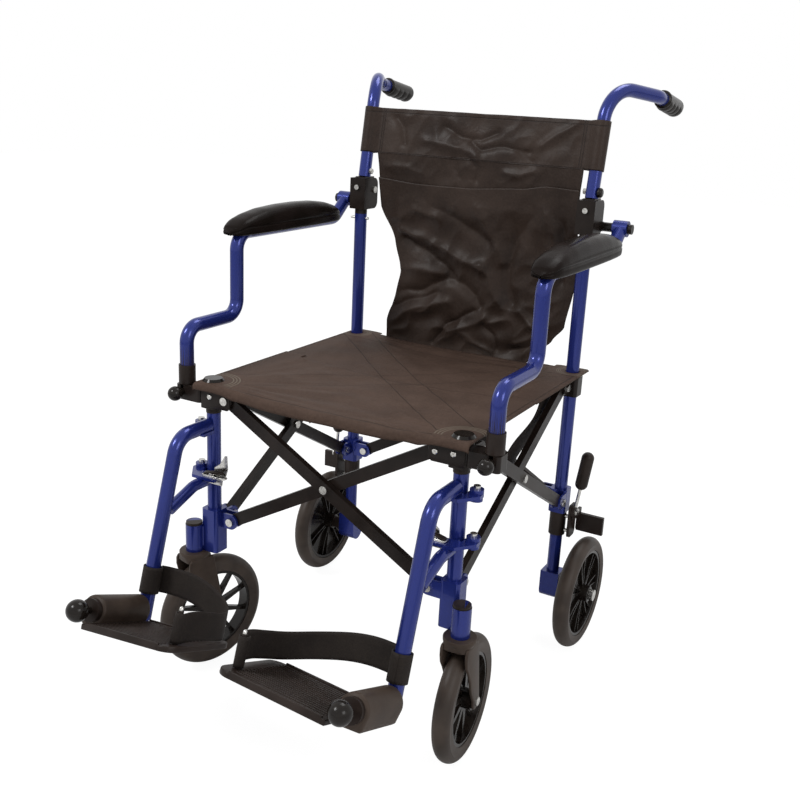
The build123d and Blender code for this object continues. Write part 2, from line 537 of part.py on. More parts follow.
# Slings: woven seat on the four blocks, back panel between posts and handles.
SEAT_SIDE = 22.0        # cloth outboard of the post axes
seat = slab([(-POST_X - SEAT_SIDE, FRONT_Y - 24), (POST_X + SEAT_SIDE, FRONT_Y - 24),
             (POST_X + SEAT_SIDE, REAR_Y + 28), (-POST_X - SEAT_SIDE, REAR_Y + 28)], SEAT_Z, CLOTH_T)
for x in (-POST_X, POST_X):
    seat = seat - cyl((x, REAR_Y, SEAT_Z - 1), Z, TUBE_R + 1, 6) - cyl((x, FRONT_Y, SEAT_Z - 1), Z, 5, 6)
save("seat_sling", seat)

BACK_SEAM_Z = 831.0
BACK_TOP = 909.0
low_half = POST_X - TUBE_R - 6
low_y = REAR_Y + 2
save("back_lower", box(-low_half, low_half, low_y, low_y + CLOTH_T, SEAT_Z + CLOTH_T + 2, BACK_SEAM_Z - 1))
up_half = POST_X - TUBE_R
seam = tube_low + tube_dir * ((BACK_SEAM_Z - tube_low.Z) / tube_dir.Z)
back_h = (BACK_TOP - BACK_SEAM_Z) / tube_dir.Z
panel_frame = Plane(origin=seam, x_dir=X, z_dir=tube_dir)
panel = Solid.make_box(2 * up_half, CLOTH_T, back_h).moved(panel_frame.location)
panel = panel.moved(Location((-POST_X - up_half, -TUBE_R, 0)))
for x in (-POST_X, POST_X):
    hem = Vector(x, seam.Y, seam.Z)
    panel = panel + cyl(hem, tube_dir, TUBE_R + GAP + CLOTH_T, back_h)
for x in (-POST_X, POST_X):
    panel = panel - cyl(Vector(x, seam.Y, seam.Z) - tube_dir * 5, tube_dir, TUBE_R + GAP, back_h + 10)
save("back_upper", panel)
strap_y = (REAR_Y + FRONT_Y) / 2
strap = extrude(make_face(Plane.YZ * Polyline(
    (REAR_Y - 42, SEAT_Z - GAP), (REAR_Y - 17, SEAT_Z - GAP), (strap_y + 25, PIVOT_Z + RISE / 2 + 14),
    (strap_y, PIVOT_Z + RISE / 2 + 14), close=True)), 2, dir=X)
both("side_strap", strap.moved(Location((POST_X + SIDE_INNER - BAR_T / 2 - 11, 0, 0))))
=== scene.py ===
from math import acos, atan2, cos, exp, hypot, pi, radians, sin, tan
import bmesh
import bpy
from mathutils import Matrix, Vector, noise


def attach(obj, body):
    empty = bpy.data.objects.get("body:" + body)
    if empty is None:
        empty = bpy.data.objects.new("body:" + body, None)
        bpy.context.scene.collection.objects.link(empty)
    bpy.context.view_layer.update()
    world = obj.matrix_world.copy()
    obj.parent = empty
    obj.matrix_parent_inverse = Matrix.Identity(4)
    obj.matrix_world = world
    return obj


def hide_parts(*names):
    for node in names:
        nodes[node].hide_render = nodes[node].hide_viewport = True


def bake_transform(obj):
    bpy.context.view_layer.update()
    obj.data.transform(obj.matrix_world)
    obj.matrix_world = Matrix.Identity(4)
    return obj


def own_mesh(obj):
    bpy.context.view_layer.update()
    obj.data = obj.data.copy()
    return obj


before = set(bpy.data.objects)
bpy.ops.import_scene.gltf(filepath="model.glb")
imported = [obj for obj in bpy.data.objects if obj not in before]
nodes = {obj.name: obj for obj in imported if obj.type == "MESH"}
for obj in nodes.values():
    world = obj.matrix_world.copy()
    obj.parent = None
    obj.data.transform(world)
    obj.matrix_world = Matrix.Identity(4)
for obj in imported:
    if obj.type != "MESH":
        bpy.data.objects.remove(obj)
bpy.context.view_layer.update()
SIDES = (("left", 1), ("right", -1))

# Camera: eye height in front of the chair and towards the occupant's left,
# looking a little down at the seat. It leans by a few degrees, as a hand-held one.
lens = bpy.data.cameras.new("camera")
lens.lens = 45.36
lens.sensor_width = 36.0
camera = bpy.data.objects.new("camera", lens)
bpy.context.scene.collection.objects.link(camera)
aim = Matrix.Rotation(radians(28.754), 4, "Z") @ Matrix.Rotation(radians(90 - 17.315), 4, "X")
roll = Matrix.Rotation(radians(2.757), 4, "Z")
camera.matrix_world = Matrix.Translation((0.7576, -1.3565, 0.9486)) @ aim @ roll
bpy.context.scene.camera = camera
bpy.context.scene.view_settings.view_transform = "Standard"


# Studio: a pale floor without an edge, a white surround, and three soft lamps
# over the chair. The shader helper starts here, with the first material.
class Shade:
    """A socket in a material's nodes. Sums and products on it become Math nodes."""

    def __init__(self, tree, socket=None):
        self.tree = tree
        self.socket = socket

    def node(self, kind, settings, inputs, out=0):
        """Any node: its settings first, then a value or a link for each of its inputs."""
        made = self.tree.nodes.new("ShaderNode" + kind)
        for name, value in settings.items():
            setattr(made, name, value)
        for name, value in inputs.items():
            socket = made.inputs[name]
            if isinstance(value, Shade):
                self.tree.links.new(value.socket, socket)
            else:
                socket.default_value = value
        return Shade(self.tree, made.outputs[out])

    def math(self, operation, *values):
        return self.node("Math", {"operation": operation}, dict(enumerate(values)))

    def __add__(self, other):
        return self.math("ADD", self, other)

    __radd__ = __add__

    def __mul__(self, other):
        return self.math("MULTIPLY", self, other)

    __rmul__ = __mul__

    def __sub__(self, other):
        return self.math("SUBTRACT", self, other)

    def __rsub__(self, other):
        return self.math("SUBTRACT", other, self)

    def __pow__(self, other):
        return self.math("POWER", self, other)

    def __abs__(self):
        return self.math("ABSOLUTE", self)

    def high(self, other):
        return self.math("MAXIMUM", self, other)

    def sine(self):
        return self.math("SINE", self)

    def clear(self, start, end):
        """0 up to start, 1 from end on, smooth between."""
        return self.node("MapRange", {"interpolation_type": "SMOOTHSTEP"},
                         {"Value": self, "From Min": start, "From Max": end})

    def tint(self, a, b):
        """Colour a where this is 0 and b where it is 1."""
        return self.node("Mix", {"data_type": "RGBA"},
                         {0: self, 6: (*a, 1), 7: (*b, 1)}, 2)

    def bump(self, height, strength):
        """Normals of a surface raised by this field, height in metres where it is 1."""
        return self.node("Bump", {}, {"Height": self, "Strength": strength, "Distance": height})

    def axis(self, which):
        """X, Y or Z of this place, as 0, 1 or 2."""
        return self.node("SeparateXYZ", {}, {"Vector": self}, which)

    def speckle(self, scale, detail, **more):
        """Noise over this place, with about as many patches to the metre as scale says."""
        inputs = {"Vector": self, "Scale": scale, "Detail": detail, **more}
        return self.node("TexNoise", {}, inputs)


def finish(name, **values):
    """A Principled material, the place on the piece as a field, and the shader."""
    made = bpy.data.materials.new(name)
    made.use_nodes = True
    shader = made.node_tree.nodes["Principled BSDF"]
    for key, value in values.items():
        shader.inputs[key.replace("_", " ")].default_value = value
    return made, Shade(made.node_tree).node("TexCoord", {}, {}, "Object"), shader


def plug(shader, **fields):
    """Links a field to each input that is named."""
    for key, field in fields.items():
        field.tree.links.new(field.socket, shader.inputs[key.replace("_", " ")])


def output(tree, kind, surface):
    """Ends a world's or a material's nodes with this surface."""
    end = tree.nodes.new("ShaderNodeOutput" + kind)
    tree.links.new(surface.socket, end.inputs["Surface"])


white = (1, 1, 1, 1)
world = bpy.data.worlds.new("surround")
bpy.context.scene.world = world
world.use_nodes = True
world.node_tree.nodes.clear()
sky = Shade(world.node_tree)
rays = [sky.node("LightPath", {}, {}, f"Is {kind} Ray") for kind in ("Camera", "Glossy", "Transmission")]
soft = sky.node("Background", {}, {"Color": white, "Strength": 0.5})
clean = sky.node("Background", {}, {"Color": white, "Strength": 1.0})
direct = rays[0].high(rays[1]).high(rays[2])
output(world.node_tree, "World", sky.node("MixShader", {}, {0: direct, 1: soft, 2: clean}))

FLOOR_HALF = 9
FLOOR_DROP = 0.0006
floor_mesh = bpy.data.meshes.new("floor")
square = ((-1, -1), (1, -1), (1, 1), (-1, 1))
floor_mesh.from_pydata([(x * FLOOR_HALF, y * FLOOR_HALF, 0) for x, y in square], [], [(0, 1, 2, 3)])
floor = bpy.data.objects.new("floor", floor_mesh)
floor.location.z = -FLOOR_DROP
bpy.context.scene.collection.objects.link(floor)
floor_paint = bpy.data.materials.new("floor_paint")
floor_paint.use_nodes = True
floor_paint.node_tree.nodes.clear()
ground = Shade(floor_paint.node_tree)
seen = ground.node("LightPath", {}, {}, "Is Camera Ray")
matt = ground.node("BsdfDiffuse", {}, {"Color": (0.88, 0.88, 0.88, 1)})
glow = ground.node("Emission", {}, {"Color": white, "Strength": 1.16})
paint = ground.node("MixShader", {}, {0: seen * 0.8, 1: matt, 2: glow})
output(floor_paint.node_tree, "Material", paint)
floor_mesh.materials.append(floor_paint)

LIT = Vector((0, 0, 0.45))
for name, place, size, power in (
    ("key", (-1.6, -2.2, 3.0), 0.9, 62),
    ("fill", (2.6, -1.4, 2.0), 1.2, 22),
    ("top", (0.2, 1.2, 3.2), 1.4, 30),
):
    lamp = bpy.data.lights.new(name, "AREA")
    lamp.size = size
    lamp.energy = power
    light = bpy.data.objects.new(name, lamp)
    light.location = place
    light.rotation_euler = (LIT - Vector(place)).to_track_quat("-Z", "Y").to_euler()
    bpy.context.scene.collection.objects.link(light)


# Frame tubes: 22 mm steel tube, bent and then lacquered a deep metallic blue. The
# finish is glossy, with a fine sparkle and a faint orange peel.
def dress(name, coat, *others):
    """Gives a node its coat. Each of others is another coat and the test that picks its faces."""
    mesh = nodes[name].data
    mesh.materials.clear()
    mesh.materials.append(coat)
    for face in mesh.polygons:
        face.material_index = 0
    for i, (other, picks) in enumerate(others, 1):
        mesh.materials.append(other)
        for face in mesh.polygons:
            p = face.center
            if picks(Vector((abs(p.x), p.y, p.z))):
                face.material_index = i


def coated(name, dark, pale, size, grain, rise, rough, **values):
    """A material whose colour and gloss drift from patch to patch, with a fine grain."""
    made, place, shader = finish(name, **values)
    fine = place.speckle(grain, 2.0)
    patch = place.speckle(size, 4.0)
    plug(shader, Base_Color=patch.clear(0.3, 0.7).tint(dark, pale),
         Roughness=patch * 0.16 + (rough - 0.08), Normal=fine.bump(rise, 0.35))
    return made


blue, place, shader = finish("blue_lacquer", Metallic=0.4, Roughness=0.22, Specular_IOR_Level=0.3,
                             Coat_Weight=0.26, Coat_Roughness=0.04)
flake = place.speckle(2600.0, 1.0)
peel = place.speckle(420.0, 1.0)
plug(shader, Base_Color=flake.clear(0.45, 0.75).tint((0.011, 0.020, 0.155), (0.024, 0.044, 0.27)),
     Normal=peel.bump(0.00003, 0.3))

black = coated("black_powder_coat", (0.009, 0.006, 0.005), (0.017, 0.012, 0.010),
               28.0, 1300.0, 0.00006, 0.3, Specular_IOR_Level=0.17)
moulded = coated("black_nylon", (0.015, 0.010, 0.008), (0.027, 0.019, 0.016),
                 22.0, 2100.0, 0.00008, 0.4, Specular_IOR_Level=0.16)
matt_nylon = coated("matt_nylon", (0.036, 0.025, 0.019), (0.056, 0.040, 0.031),
                    26.0, 1900.0, 0.00008, 0.46, Specular_IOR_Level=0.14)
polished = coated("polished_black", (0.007, 0.005, 0.004), (0.013, 0.010, 0.008),
                  60.0, 900.0, 0.00003, 0.2, Specular_IOR_Level=0.22)
zinc = coated("bright_zinc", (0.42, 0.41, 0.39), (0.66, 0.65, 0.62),
              300.0, 1500.0, 0.00003, 0.25, Metallic=1.0)


def piece(name, points, faces, coat):
    """A smooth-shaded piece with its points welded and its faces turned outwards."""
    mesh = bpy.data.meshes.new(name)
    mesh.from_pydata(points, [], faces)
    mesh.validate()
    tidy = bmesh.new()
    tidy.from_mesh(mesh)
    bmesh.ops.remove_doubles(tidy, verts=tidy.verts, dist=1e-6)
    bmesh.ops.recalc_face_normals(tidy, faces=tidy.faces)
    tidy.to_mesh(mesh)
    tidy.free()
    mesh.materials.append(coat)
    for face in mesh.polygons:
        face.use_smooth = True
    obj = bpy.data.objects.new(name, mesh)
    bpy.context.scene.collection.objects.link(obj)
    return obj


def loft(name, rings, coat):
    """Closed skin over rings of points, capped at both ends."""
    n = len(rings[0])
    points = [p for ring in rings for p in ring]
    faces = [tuple(range(n))[::-1], tuple(range((len(rings) - 1) * n, len(rings) * n))]
    for j in range(len(rings) - 1):
        for i in range(n):
            k = (i + 1) % n
            faces.append((j * n + i, j * n + k, (j + 1) * n + k, (j + 1) * n + i))
    return piece(name, points, faces, coat)


def turned(name, profile, at, axis, coat, steps=48):
    """A solid turned round an axis from its outline: distances along the axis and radii."""
    way = Vector(axis).normalized()
    side_a = way.orthogonal().normalized()
    side_b = way.cross(side_a)
    n = len(profile)
    points, faces = [], []
    for k in range(steps):
        turn = 2 * pi * k / steps
        for along, radius in profile:
            points.append(Vector(at) + way * along + (side_a * cos(turn) + side_b * sin(turn)) * radius)
    for k in range(steps):
        for i in range(n if profile[0] == profile[-1] else n - 1):
            a, b = k * n + i, k * n + (i + 1) % n
            c, d = (k + 1) % steps * n + (i + 1) % n, (k + 1) % steps * n + i
            faces.append((a, b, c, d))
    return creased(piece(name, points, faces, coat))


def creased(obj, angle=40):
    """Smooth shading that stops at sharp edges."""
    rough = bmesh.new()
    rough.from_mesh(obj.data)
    for edge in rough.edges:
        edge.smooth = len(edge.link_faces) == 2 and edge.calc_face_angle() < radians(angle)
    rough.to_mesh(obj.data)
    rough.free()
    return obj


def plate(name, outline, low, high, place, coat, round_by=0.001):
    """A flat piece with softened edges, from its outline in X and Y, put where place says."""
    n = len(outline)
    points = [(x, y, z) for z in (low, high) for x, y in outline]
    faces = [tuple(range(n)), tuple(range(n, 2 * n))]
    faces += [(i, (i + 1) % n, (i + 1) % n + n, i + n) for i in range(n)]
    obj = piece(name, points, faces, coat)
    soft_edge = obj.modifiers.new("edges", "BEVEL")
    soft_edge.width = round_by
    soft_edge.segments = 3
    soft_edge.limit_method = "ANGLE"
    bpy.context.view_layer.update()
    flat = obj.data
    worked = obj.evaluated_get(bpy.context.evaluated_depsgraph_get())
    obj.data = bpy.data.meshes.new_from_object(worked)
    obj.modifiers.clear()
    bpy.data.meshes.remove(flat)
    obj.data.name = name
    obj.data.transform(place)
    return creased(obj)


def joined(name, *pieces):
    """One object from several."""
    whole = bmesh.new()
    coats = []
    for part in pieces:
        coat = part.data.materials[0]
        if coat not in coats:
            coats.append(coat)
        start = len(whole.faces)
        whole.from_mesh(part.data)
        whole.faces.ensure_lookup_table()
        for face in whole.faces[start:]:
            face.material_index = coats.index(coat)
        flat = part.data
        bpy.data.objects.remove(part)
        bpy.data.meshes.remove(flat)
    mesh = bpy.data.meshes.new(name)
    whole.to_mesh(mesh)
    whole.free()
    for coat in coats:
        mesh.materials.append(coat)
    obj = bpy.data.objects.new(name, mesh)
    bpy.context.scene.collection.objects.link(obj)
    return obj


def bent(points, radii, steps=10):
    """Straight runs joined by tangent arcs."""
    line = [Vector(points[0])]
    for before, corner, after, radius in zip(points, points[1:], points[2:], radii):
        corner = Vector(corner)
        a, b = (Vector(before) - corner).normalized(), (Vector(after) - corner).normalized()
        half = a.angle(b) / 2
        reach = radius / tan(half)
        centre = corner + (a + b).normalized() * radius / sin(half)
        u, v = corner + a * reach - centre, corner + b * reach - centre
        for k in range(steps + 1):
            line.append(centre + u.normalized().slerp(v.normalized(), k / steps) * radius)
    return line + [Vector(points[-1])]


def tube(name, line, radius, coat):
    """Round tube along a line, closed at both ends."""
    turns = [2 * pi * k / 32 for k in range(32)]
    rings, side_a = [], None
    for i, at in enumerate(line):
        way = (line[min(i + 1, len(line) - 1)] - line[max(i - 1, 0)]).normalized()
        side_a = way.orthogonal() if side_a is None else side_a - way * side_a.dot(way)
        side_a.normalize()
        side_b = way.cross(side_a)
        rings.append([at + (side_a * cos(t) + side_b * sin(t)) * radius for t in turns])
    return creased(loft(name, rings, coat), 60)


FRONT_Y = -0.185
REAR_Y = 0.235
POST_X = 0.216
PIVOT_IN = 0.034
PIVOT_BACK = 0.028
LOW_Z = 0.270
HIGH_Z = 0.476
BAR_OFF = 0.006
HEAD_R = 0.0072
HEAD_FROM = 0.0095


def bolts(post_y, cross, along):
    """Picks the bolt heads of a lower bracket: one bolt lies along Y and the other along X.
    cross and along say how far off the post's axis the two bars lie."""
    back = post_y + PIVOT_BACK * (1 if post_y < 0 else -1)

    def picks(p):
        a = (hypot(p.x - POST_X + PIVOT_IN, p.z - LOW_Z) < HEAD_R
             and abs(p.y - post_y - cross) > HEAD_FROM)
        b = hypot(p.y - back, p.z - LOW_Z) < HEAD_R and abs(p.x - POST_X - along) > HEAD_FROM
        return a or b
    return picks


for side, sign in SIDES:
    dress("arm_tube_" + side, blue, (moulded, lambda p: p.z < 0.5185))
    dress("leg_hanger_" + side, blue,
          (zinc, lambda p: hypot(p.x - 0.198, p.y + 0.212) < 0.0065 and p.z > 0.354))
    # The rear post's moulded parts are the axle's boss, the collar and the brake's mount.
    dress("rear_post_" + side, blue,
          (moulded, lambda p: p.z < 0.127 and p.x > 0.2332
           or 0.198 < p.z < 0.2432 and hypot(p.x - POST_X, p.y - REAR_Y) > 0.0115
           or p.x > 0.239 and 0.198 < p.z < 0.264),
          (zinc, lambda p: p.z < 0.115 and p.x > 0.2898 or 0.198 < p.z < 0.262 and p.x > 0.2498),
          (zinc, lambda p: 0.2 < p.z < 0.243 and 0.2308 < p.x < 0.2398 and p.y > 0.2312),
          (zinc, bolts(REAR_Y, sign * BAR_OFF, BAR_OFF)))
    dress("front_post_" + side, blue,
          (moulded, lambda p: p.z > 0.4485
           or 0.2595 < p.z < 0.27 and p.y < FRONT_Y - 0.0165 and p.x > 0.227),
          (zinc, lambda p: hypot(p.x - 0.241, p.y - FRONT_Y) < 0.0054 and p.z > 0.345),
          (zinc, bolts(FRONT_Y, -sign * BAR_OFF, -BAR_OFF)))


# Scissors, brackets and blocks: flat steel bars and pressed brackets, coated in
# satin black, on zinc bolts. The knobs, pins and levers between them are black nylon.
BAR_FACE = 0.0112
PIN_Z = 0.765
for name, y in (("front_bar_a", FRONT_Y), ("front_bar_b", FRONT_Y),
                ("rear_bar_a", REAR_Y), ("rear_bar_b", REAR_Y)):
    dress(name, black, (zinc, lambda p, y=y: abs(p.y - y) > BAR_FACE))
for side, sign in SIDES:
    dress("side_bar_outer_" + side, black, (zinc, lambda p: abs(p.x - POST_X) > BAR_FACE))
    dress("side_bar_inner_" + side, black)
    dress("rear_block_" + side, black,
          (zinc, lambda p, s=sign: hypot(p.x - 0.182, p.z - HIGH_Z) < HEAD_R
           and abs(p.y - REAR_Y + s * BAR_OFF) > HEAD_FROM),
          (zinc, lambda p: hypot(p.y - 0.207, p.z - HIGH_Z) < HEAD_R
           and abs(p.x - POST_X + BAR_OFF) > HEAD_FROM))
    dress("front_block_" + side, black, (polished, lambda p: p.z > 0.4972),
          (zinc, lambda p: p.x < 0.1995 and hypot(p.x - 0.182, p.z - HIGH_Z) < HEAD_R
           and abs(p.y - FRONT_Y) > BAR_FACE),
          (zinc, lambda p: hypot(p.y + 0.157, p.z - HIGH_Z) < HEAD_R
           and abs(p.x - POST_X - BAR_OFF) > HEAD_FROM))
    dress("hinge_bracket_" + side, black,
          (zinc, lambda p: p.y < REAR_Y - 0.0152 and hypot(p.x - POST_X, p.z - 0.770) < 0.0048),
          (zinc, lambda p: p.z < 0.719 and abs(p.x - POST_X) > BAR_FACE),
          (zinc, lambda p: p.x < 0.2003 and hypot(p.y - 0.253, p.z - PIN_Z) < 0.0065))
    dress("brake_lever_" + side, moulded, (zinc, lambda p: 0.2612 < p.z < 0.2912))
    for name in ("arm_knob_", "foot_knob_", "arm_pin_"):
        dress(name + side, polished)
    dress("foot_spindle_" + side, moulded)
dress("back_lock_knob", polished)


# Push handles: the same tube, bent back and outwards, with a flat tongue in the back
# hinge. The grips are black rubber sleeves with swells for the fingers underneath.
HANDLE_Z = 0.788
HANDLE = ((POST_X, REAR_Y + 0.008, HANDLE_Z), (POST_X, REAR_Y + 0.0385, 0.9646),
          (0.268, REAR_Y + 0.1424, 0.9505), (0.270, REAR_Y + 0.2520, 0.934))
TUBE_R = 0.011
TONGUE = 0.0105
GRIP_L = 0.086
GRIP_IN = 0.003
SWELL = 0.0192
sleeve = coated("grip_rubber", (0.007, 0.005, 0.004), (0.013, 0.010, 0.008),
                40.0, 1500.0, 0.00004, 0.3, Specular_IOR_Level=0.2)
for side, sign in SIDES:
    ends = [Vector((sign * x, y, z)) for x, y, z in HANDLE]
    handle = tube("handle_" + side, bent(ends, (0.058, 0.040), 14), TUBE_R, blue)
    rings = []
    for z, half in ((0.7552, 0.0085), (0.7562, TONGUE), (0.785, TONGUE), (HANDLE_Z, 0.0102)):
        rings.append([(sign * POST_X + half * a, REAR_Y + 0.0095 + b * 0.016 * half / TONGUE, z)
                      for a, b in square])
    tongue = creased(loft("tongue_" + side, rings, black))
    nut = turned("nut_" + side, ((-0.004, 0), (-0.004, 0.0045), (-0.003, 0.0052), (0.001, 0.0052),
                                 (0.001, 0)),
                 (sign * 0.2045, REAR_Y + 0.0098, 0.798), (sign, 0, 0), zinc, 6)
    handle = joined("push_handle_" + side, handle, tongue, nut)
    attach(handle, "back_tube_" + side)
    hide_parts("back_tube_" + side)

    way = (ends[3] - ends[2]).normalized()
    down = way.cross(Vector((1, 0, 0))).normalized()
    across = way.cross(down)
    rings = []
    for j in range(85):
        at = (GRIP_L + GRIP_IN) * j / 84
        close = GRIP_L + GRIP_IN - at
        base = 0.0142 + 0.0012 * (at < 0.004) - 0.0006 * (1 - min(1, at / 0.0015))
        if close < 0.006:
            base *= max(0.25, (1 - (1 - close / 0.006) ** 2) ** 0.5)
        swell = 0
        if 0.006 < at < 0.083:
            swell = max(0.0, sin(pi * ((at - 0.006) / SWELL % 1))) ** 0.6
        centre = ends[3] + way * (at - GRIP_L + 0.001)
        ring = []
        for k in range(40):
            turn = 2 * pi * k / 40
            under = max(0.0, cos(turn)) ** 0.8
            radius = base + 0.0036 * swell * under
            ring.append(centre + (down * cos(turn) + across * sin(turn)) * radius)
        rings.append(ring)
    grip = loft("hand_grip_" + side, rings, sleeve)
    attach(grip, "back_tube_" + side)
    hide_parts("grip_" + side)


# Front corners: a pressed steel plate, coated black like the brackets, covers the
# front of each block. Two round-headed zinc screws hold it.
SCREW = ((-0.001, 0), (-0.001, 0.0046), (0.0008, 0.0046), (0.0018, 0.0040), (0.0024, 0.0026),
         (0.0022, 0.0012), (0.0012, 0))
COVER = ((0.1765, 0.461), (0.1715, 0.466), (0.1715, 0.483), (0.1765, 0.488),
         (0.2035, 0.488), (0.2275, 0.4865), (0.2275, 0.462), (0.2240, 0.461))


def upright_at(y):
    """Stands a plate up at y, facing the front."""
    return Matrix.Translation((0, y, 0)) @ Matrix.Rotation(radians(90), 4, "X")


for side, sign in SIDES:
    cover = plate("cover_" + side, [(sign * x, z) for x, z in COVER], -0.003, 0.0012,
                  upright_at(FRONT_Y - 0.0158), black)
    heads = [turned("head", SCREW, (sign * x, FRONT_Y - 0.0168, z), (0, -1, 0), zinc, 20)
             for x, z in ((0.182, 0.476), (0.210, 0.478))]
    cover = joined("corner_plate_" + side, cover, *heads)
    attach(cover, "front_block_" + side)


# Footplates: black nylon, with a boxed hub round the spindle, a ribbed tread with a
# raised rail on both long edges, and a stay for the heel strap at the inner corner.
FOOT_TILT = radians(23.5)
PLATE_ROLL = radians(5.5)
PLATE_TOP = -0.0145
PLATE_AHEAD = -0.131
PLATE_BEHIND = 0.008
PLATE_IN = -0.159
PLATE_SWEEP = 0.0782
CORNER_R = 0.020
HUB_R = 0.022
RAIL = 0.004
RIB_STEP = 0.0078
STAY_IN = 0.1635
LEG_UP = Vector((0, 0.30015, 0.95389))
HUB_FOOT = ((-0.0185, -0.016), (-0.017, -0.022), (-0.014, -0.0245),
            (0.014, -0.0245), (0.017, -0.022), (0.0185, -0.016))
STAY = ((-0.004, 0), (-0.004, 0.0042), (0.0455, 0.0040), (0.047, 0.0034), (0.0475, 0))
STAY_SCREW = ((0.047, 0), (0.047, 0.003), (0.0505, 0.0028), (0.052, 0.0016), (0.0525, 0))


def strip(x0, x1, y, wide, sign):
    """Outline of a strip of the plate, which runs ahead towards its inner end."""
    ends = ((x0, y), (x1, y), (x1, y + wide), (x0, y + wide))
    return [(x * sign, y + x * PLATE_SWEEP) for x, y in ends]


for side, sign in SIDES:
    hub_place = (Matrix.Translation((sign * POST_X, FRONT_Y - 0.176, 0.184))
                 @ Matrix.Rotation(-FOOT_TILT, 4, "X"))
    rolled = hub_place @ Matrix.Rotation(PLATE_ROLL * sign, 4, "Y")
    rings = []
    for at, scale in ((0, 0.94), (0.0015, 0.99), (0.004, 1), (0.093, 1), (0.0955, 0.98), (0.097, 0.92)):
        turns = [radians(-20 + 220 * k / 22) for k in range(23)]
        profile = [(HUB_R * cos(t), HUB_R * sin(t)) for t in turns] + list(HUB_FOOT)
        rings.append([hub_place @ Vector((x * scale, -at, z * scale)) for x, z in profile])
    hub = creased(loft("hub_" + side, rings, matt_nylon), 50)
    corner = []
    for edge, inside, start_at in ((PLATE_BEHIND, -CORNER_R, 90), (PLATE_AHEAD, CORNER_R, 180)):
        centre_y = edge + PLATE_SWEEP * PLATE_IN + inside
        for turn in (radians(start_at + 15 * k) for k in range(7)):
            corner.append((PLATE_IN + CORNER_R * cos(turn), centre_y + CORNER_R * sin(turn)))
    outline = [(-0.014, PLATE_AHEAD - 0.0011), (-0.014, PLATE_BEHIND - 0.0011)] + corner
    base = plate("base_" + side, [(x * sign, y) for x, y in outline],
                 PLATE_TOP - 0.008, PLATE_TOP, rolled, moulded, 0.0015)
    strips = [plate("rail", strip(-0.158, -0.020, y, RAIL, sign),
                    PLATE_TOP - 0.007, PLATE_TOP + 0.0025, rolled, moulded)
              for y in (PLATE_AHEAD, PLATE_BEHIND - RAIL)]
    for k in range(16):
        y = 0.003 - RIB_STEP * (k + 1)
        strips.append(plate("rib", strip(-0.157, -0.026, y - 0.0013, 0.0026, sign),
                            PLATE_TOP - 0.001, PLATE_TOP + 0.0009, rolled, moulded, 0.0005))
    foot = hub_place @ Vector((sign * -STAY_IN, -0.114, 0.0004))
    stay = turned("stay", STAY, foot, LEG_UP, moulded, 20)
    top = turned("stay_screw", STAY_SCREW, foot, LEG_UP, zinc, 16)
    shoe = joined("footrest_" + side, hub, base, stay, top, *strips)
    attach(shoe, "footplate_" + side)
    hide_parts("footplate_" + side)


# Latches of the leg rests: a tray of bright zinc sheet, bent down into a lip in front
# and up into a fin behind, which the thumb pushes. A black nylon lever lies over it.
LATCH = Vector((0.198, -0.212, 0.353))
TRAY = ((0.214, -0.218), (0.214, -0.206), (0.176, -0.206), (0.170, -0.209), (0.170, -0.215),
        (0.176, -0.218))
LIP = ((0.212, 0.344), (0.212, 0.3545), (0.172, 0.3545), (0.174, 0.344))
FIN = ((0.199, 0.355), (0.176, 0.355), (0.172, 0.368), (0.1735, 0.390), (0.178, 0.389),
       (0.187, 0.374), (0.198, 0.366))
ZINC_SHEET = 0.0016
for side, sign in SIDES:
    tray = plate("tray", [(sign * x, y) for x, y in TRAY], 0.3533, 0.3562, Matrix(), zinc)
    lip, fin = (plate(name, [(sign * x, z) for x, z in outline], 0, ZINC_SHEET,
                      upright_at(y), zinc, 0.0004)
                for name, outline, y in (("lip", LIP, -0.2168), ("fin", FIN, -0.2045)))
    latch = joined("latch_plate_" + side, tray, lip, fin)
    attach(latch, "leg_latch_" + side)
    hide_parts("leg_latch_" + side)
    rings = []
    for at, half, rise in ((-0.024, 0.0015, 0.002), (-0.0225, 0.0040, 0.004), (-0.016, 0.0052, 0.0062),
                           (-0.004, 0.0048, 0.0056), (0.006, 0.0056, 0.005), (0.0125, 0.0058, 0.0042),
                           (0.0145, 0.0030, 0.003)):
        ring = []
        for k in range(16):
            turn = 2 * pi * k / 16
            y = half * cos(turn)
            z = 0.0044 + rise / 2 + rise / 2 * sin(turn) - at * 0.16
            ring.append((sign * (LATCH.x + at), LATCH.y + y - 0.001, LATCH.z + z))
        rings.append(ring)
    lever = loft("latch_lever_" + side, rings, moulded)
    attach(lever, "leg_latch_" + side)


# Wheels: solid grey-black tyres with a mould line, on black nylon wheels. The
# casters turn in moulded forks on a through bolt.
rubber = coated("grey_rubber", (0.028, 0.019, 0.014), (0.048, 0.034, 0.026),
                30.0, 1500.0, 0.00008, 0.48, Specular_IOR_Level=0.3)
LEG_IN = 0.0168
LEG_OUT = 0.0213
AXLE_BACK = 0.031
AXLE_Z = 0.096
BOSS_R = 0.013
FORK_EDGE = ((0.0075, 0.120), (0.0005, 0.143), (-0.010, 0.162), (-0.0195, 0.176), (-0.0225, 0.188),
             (-0.0225, 0.199))
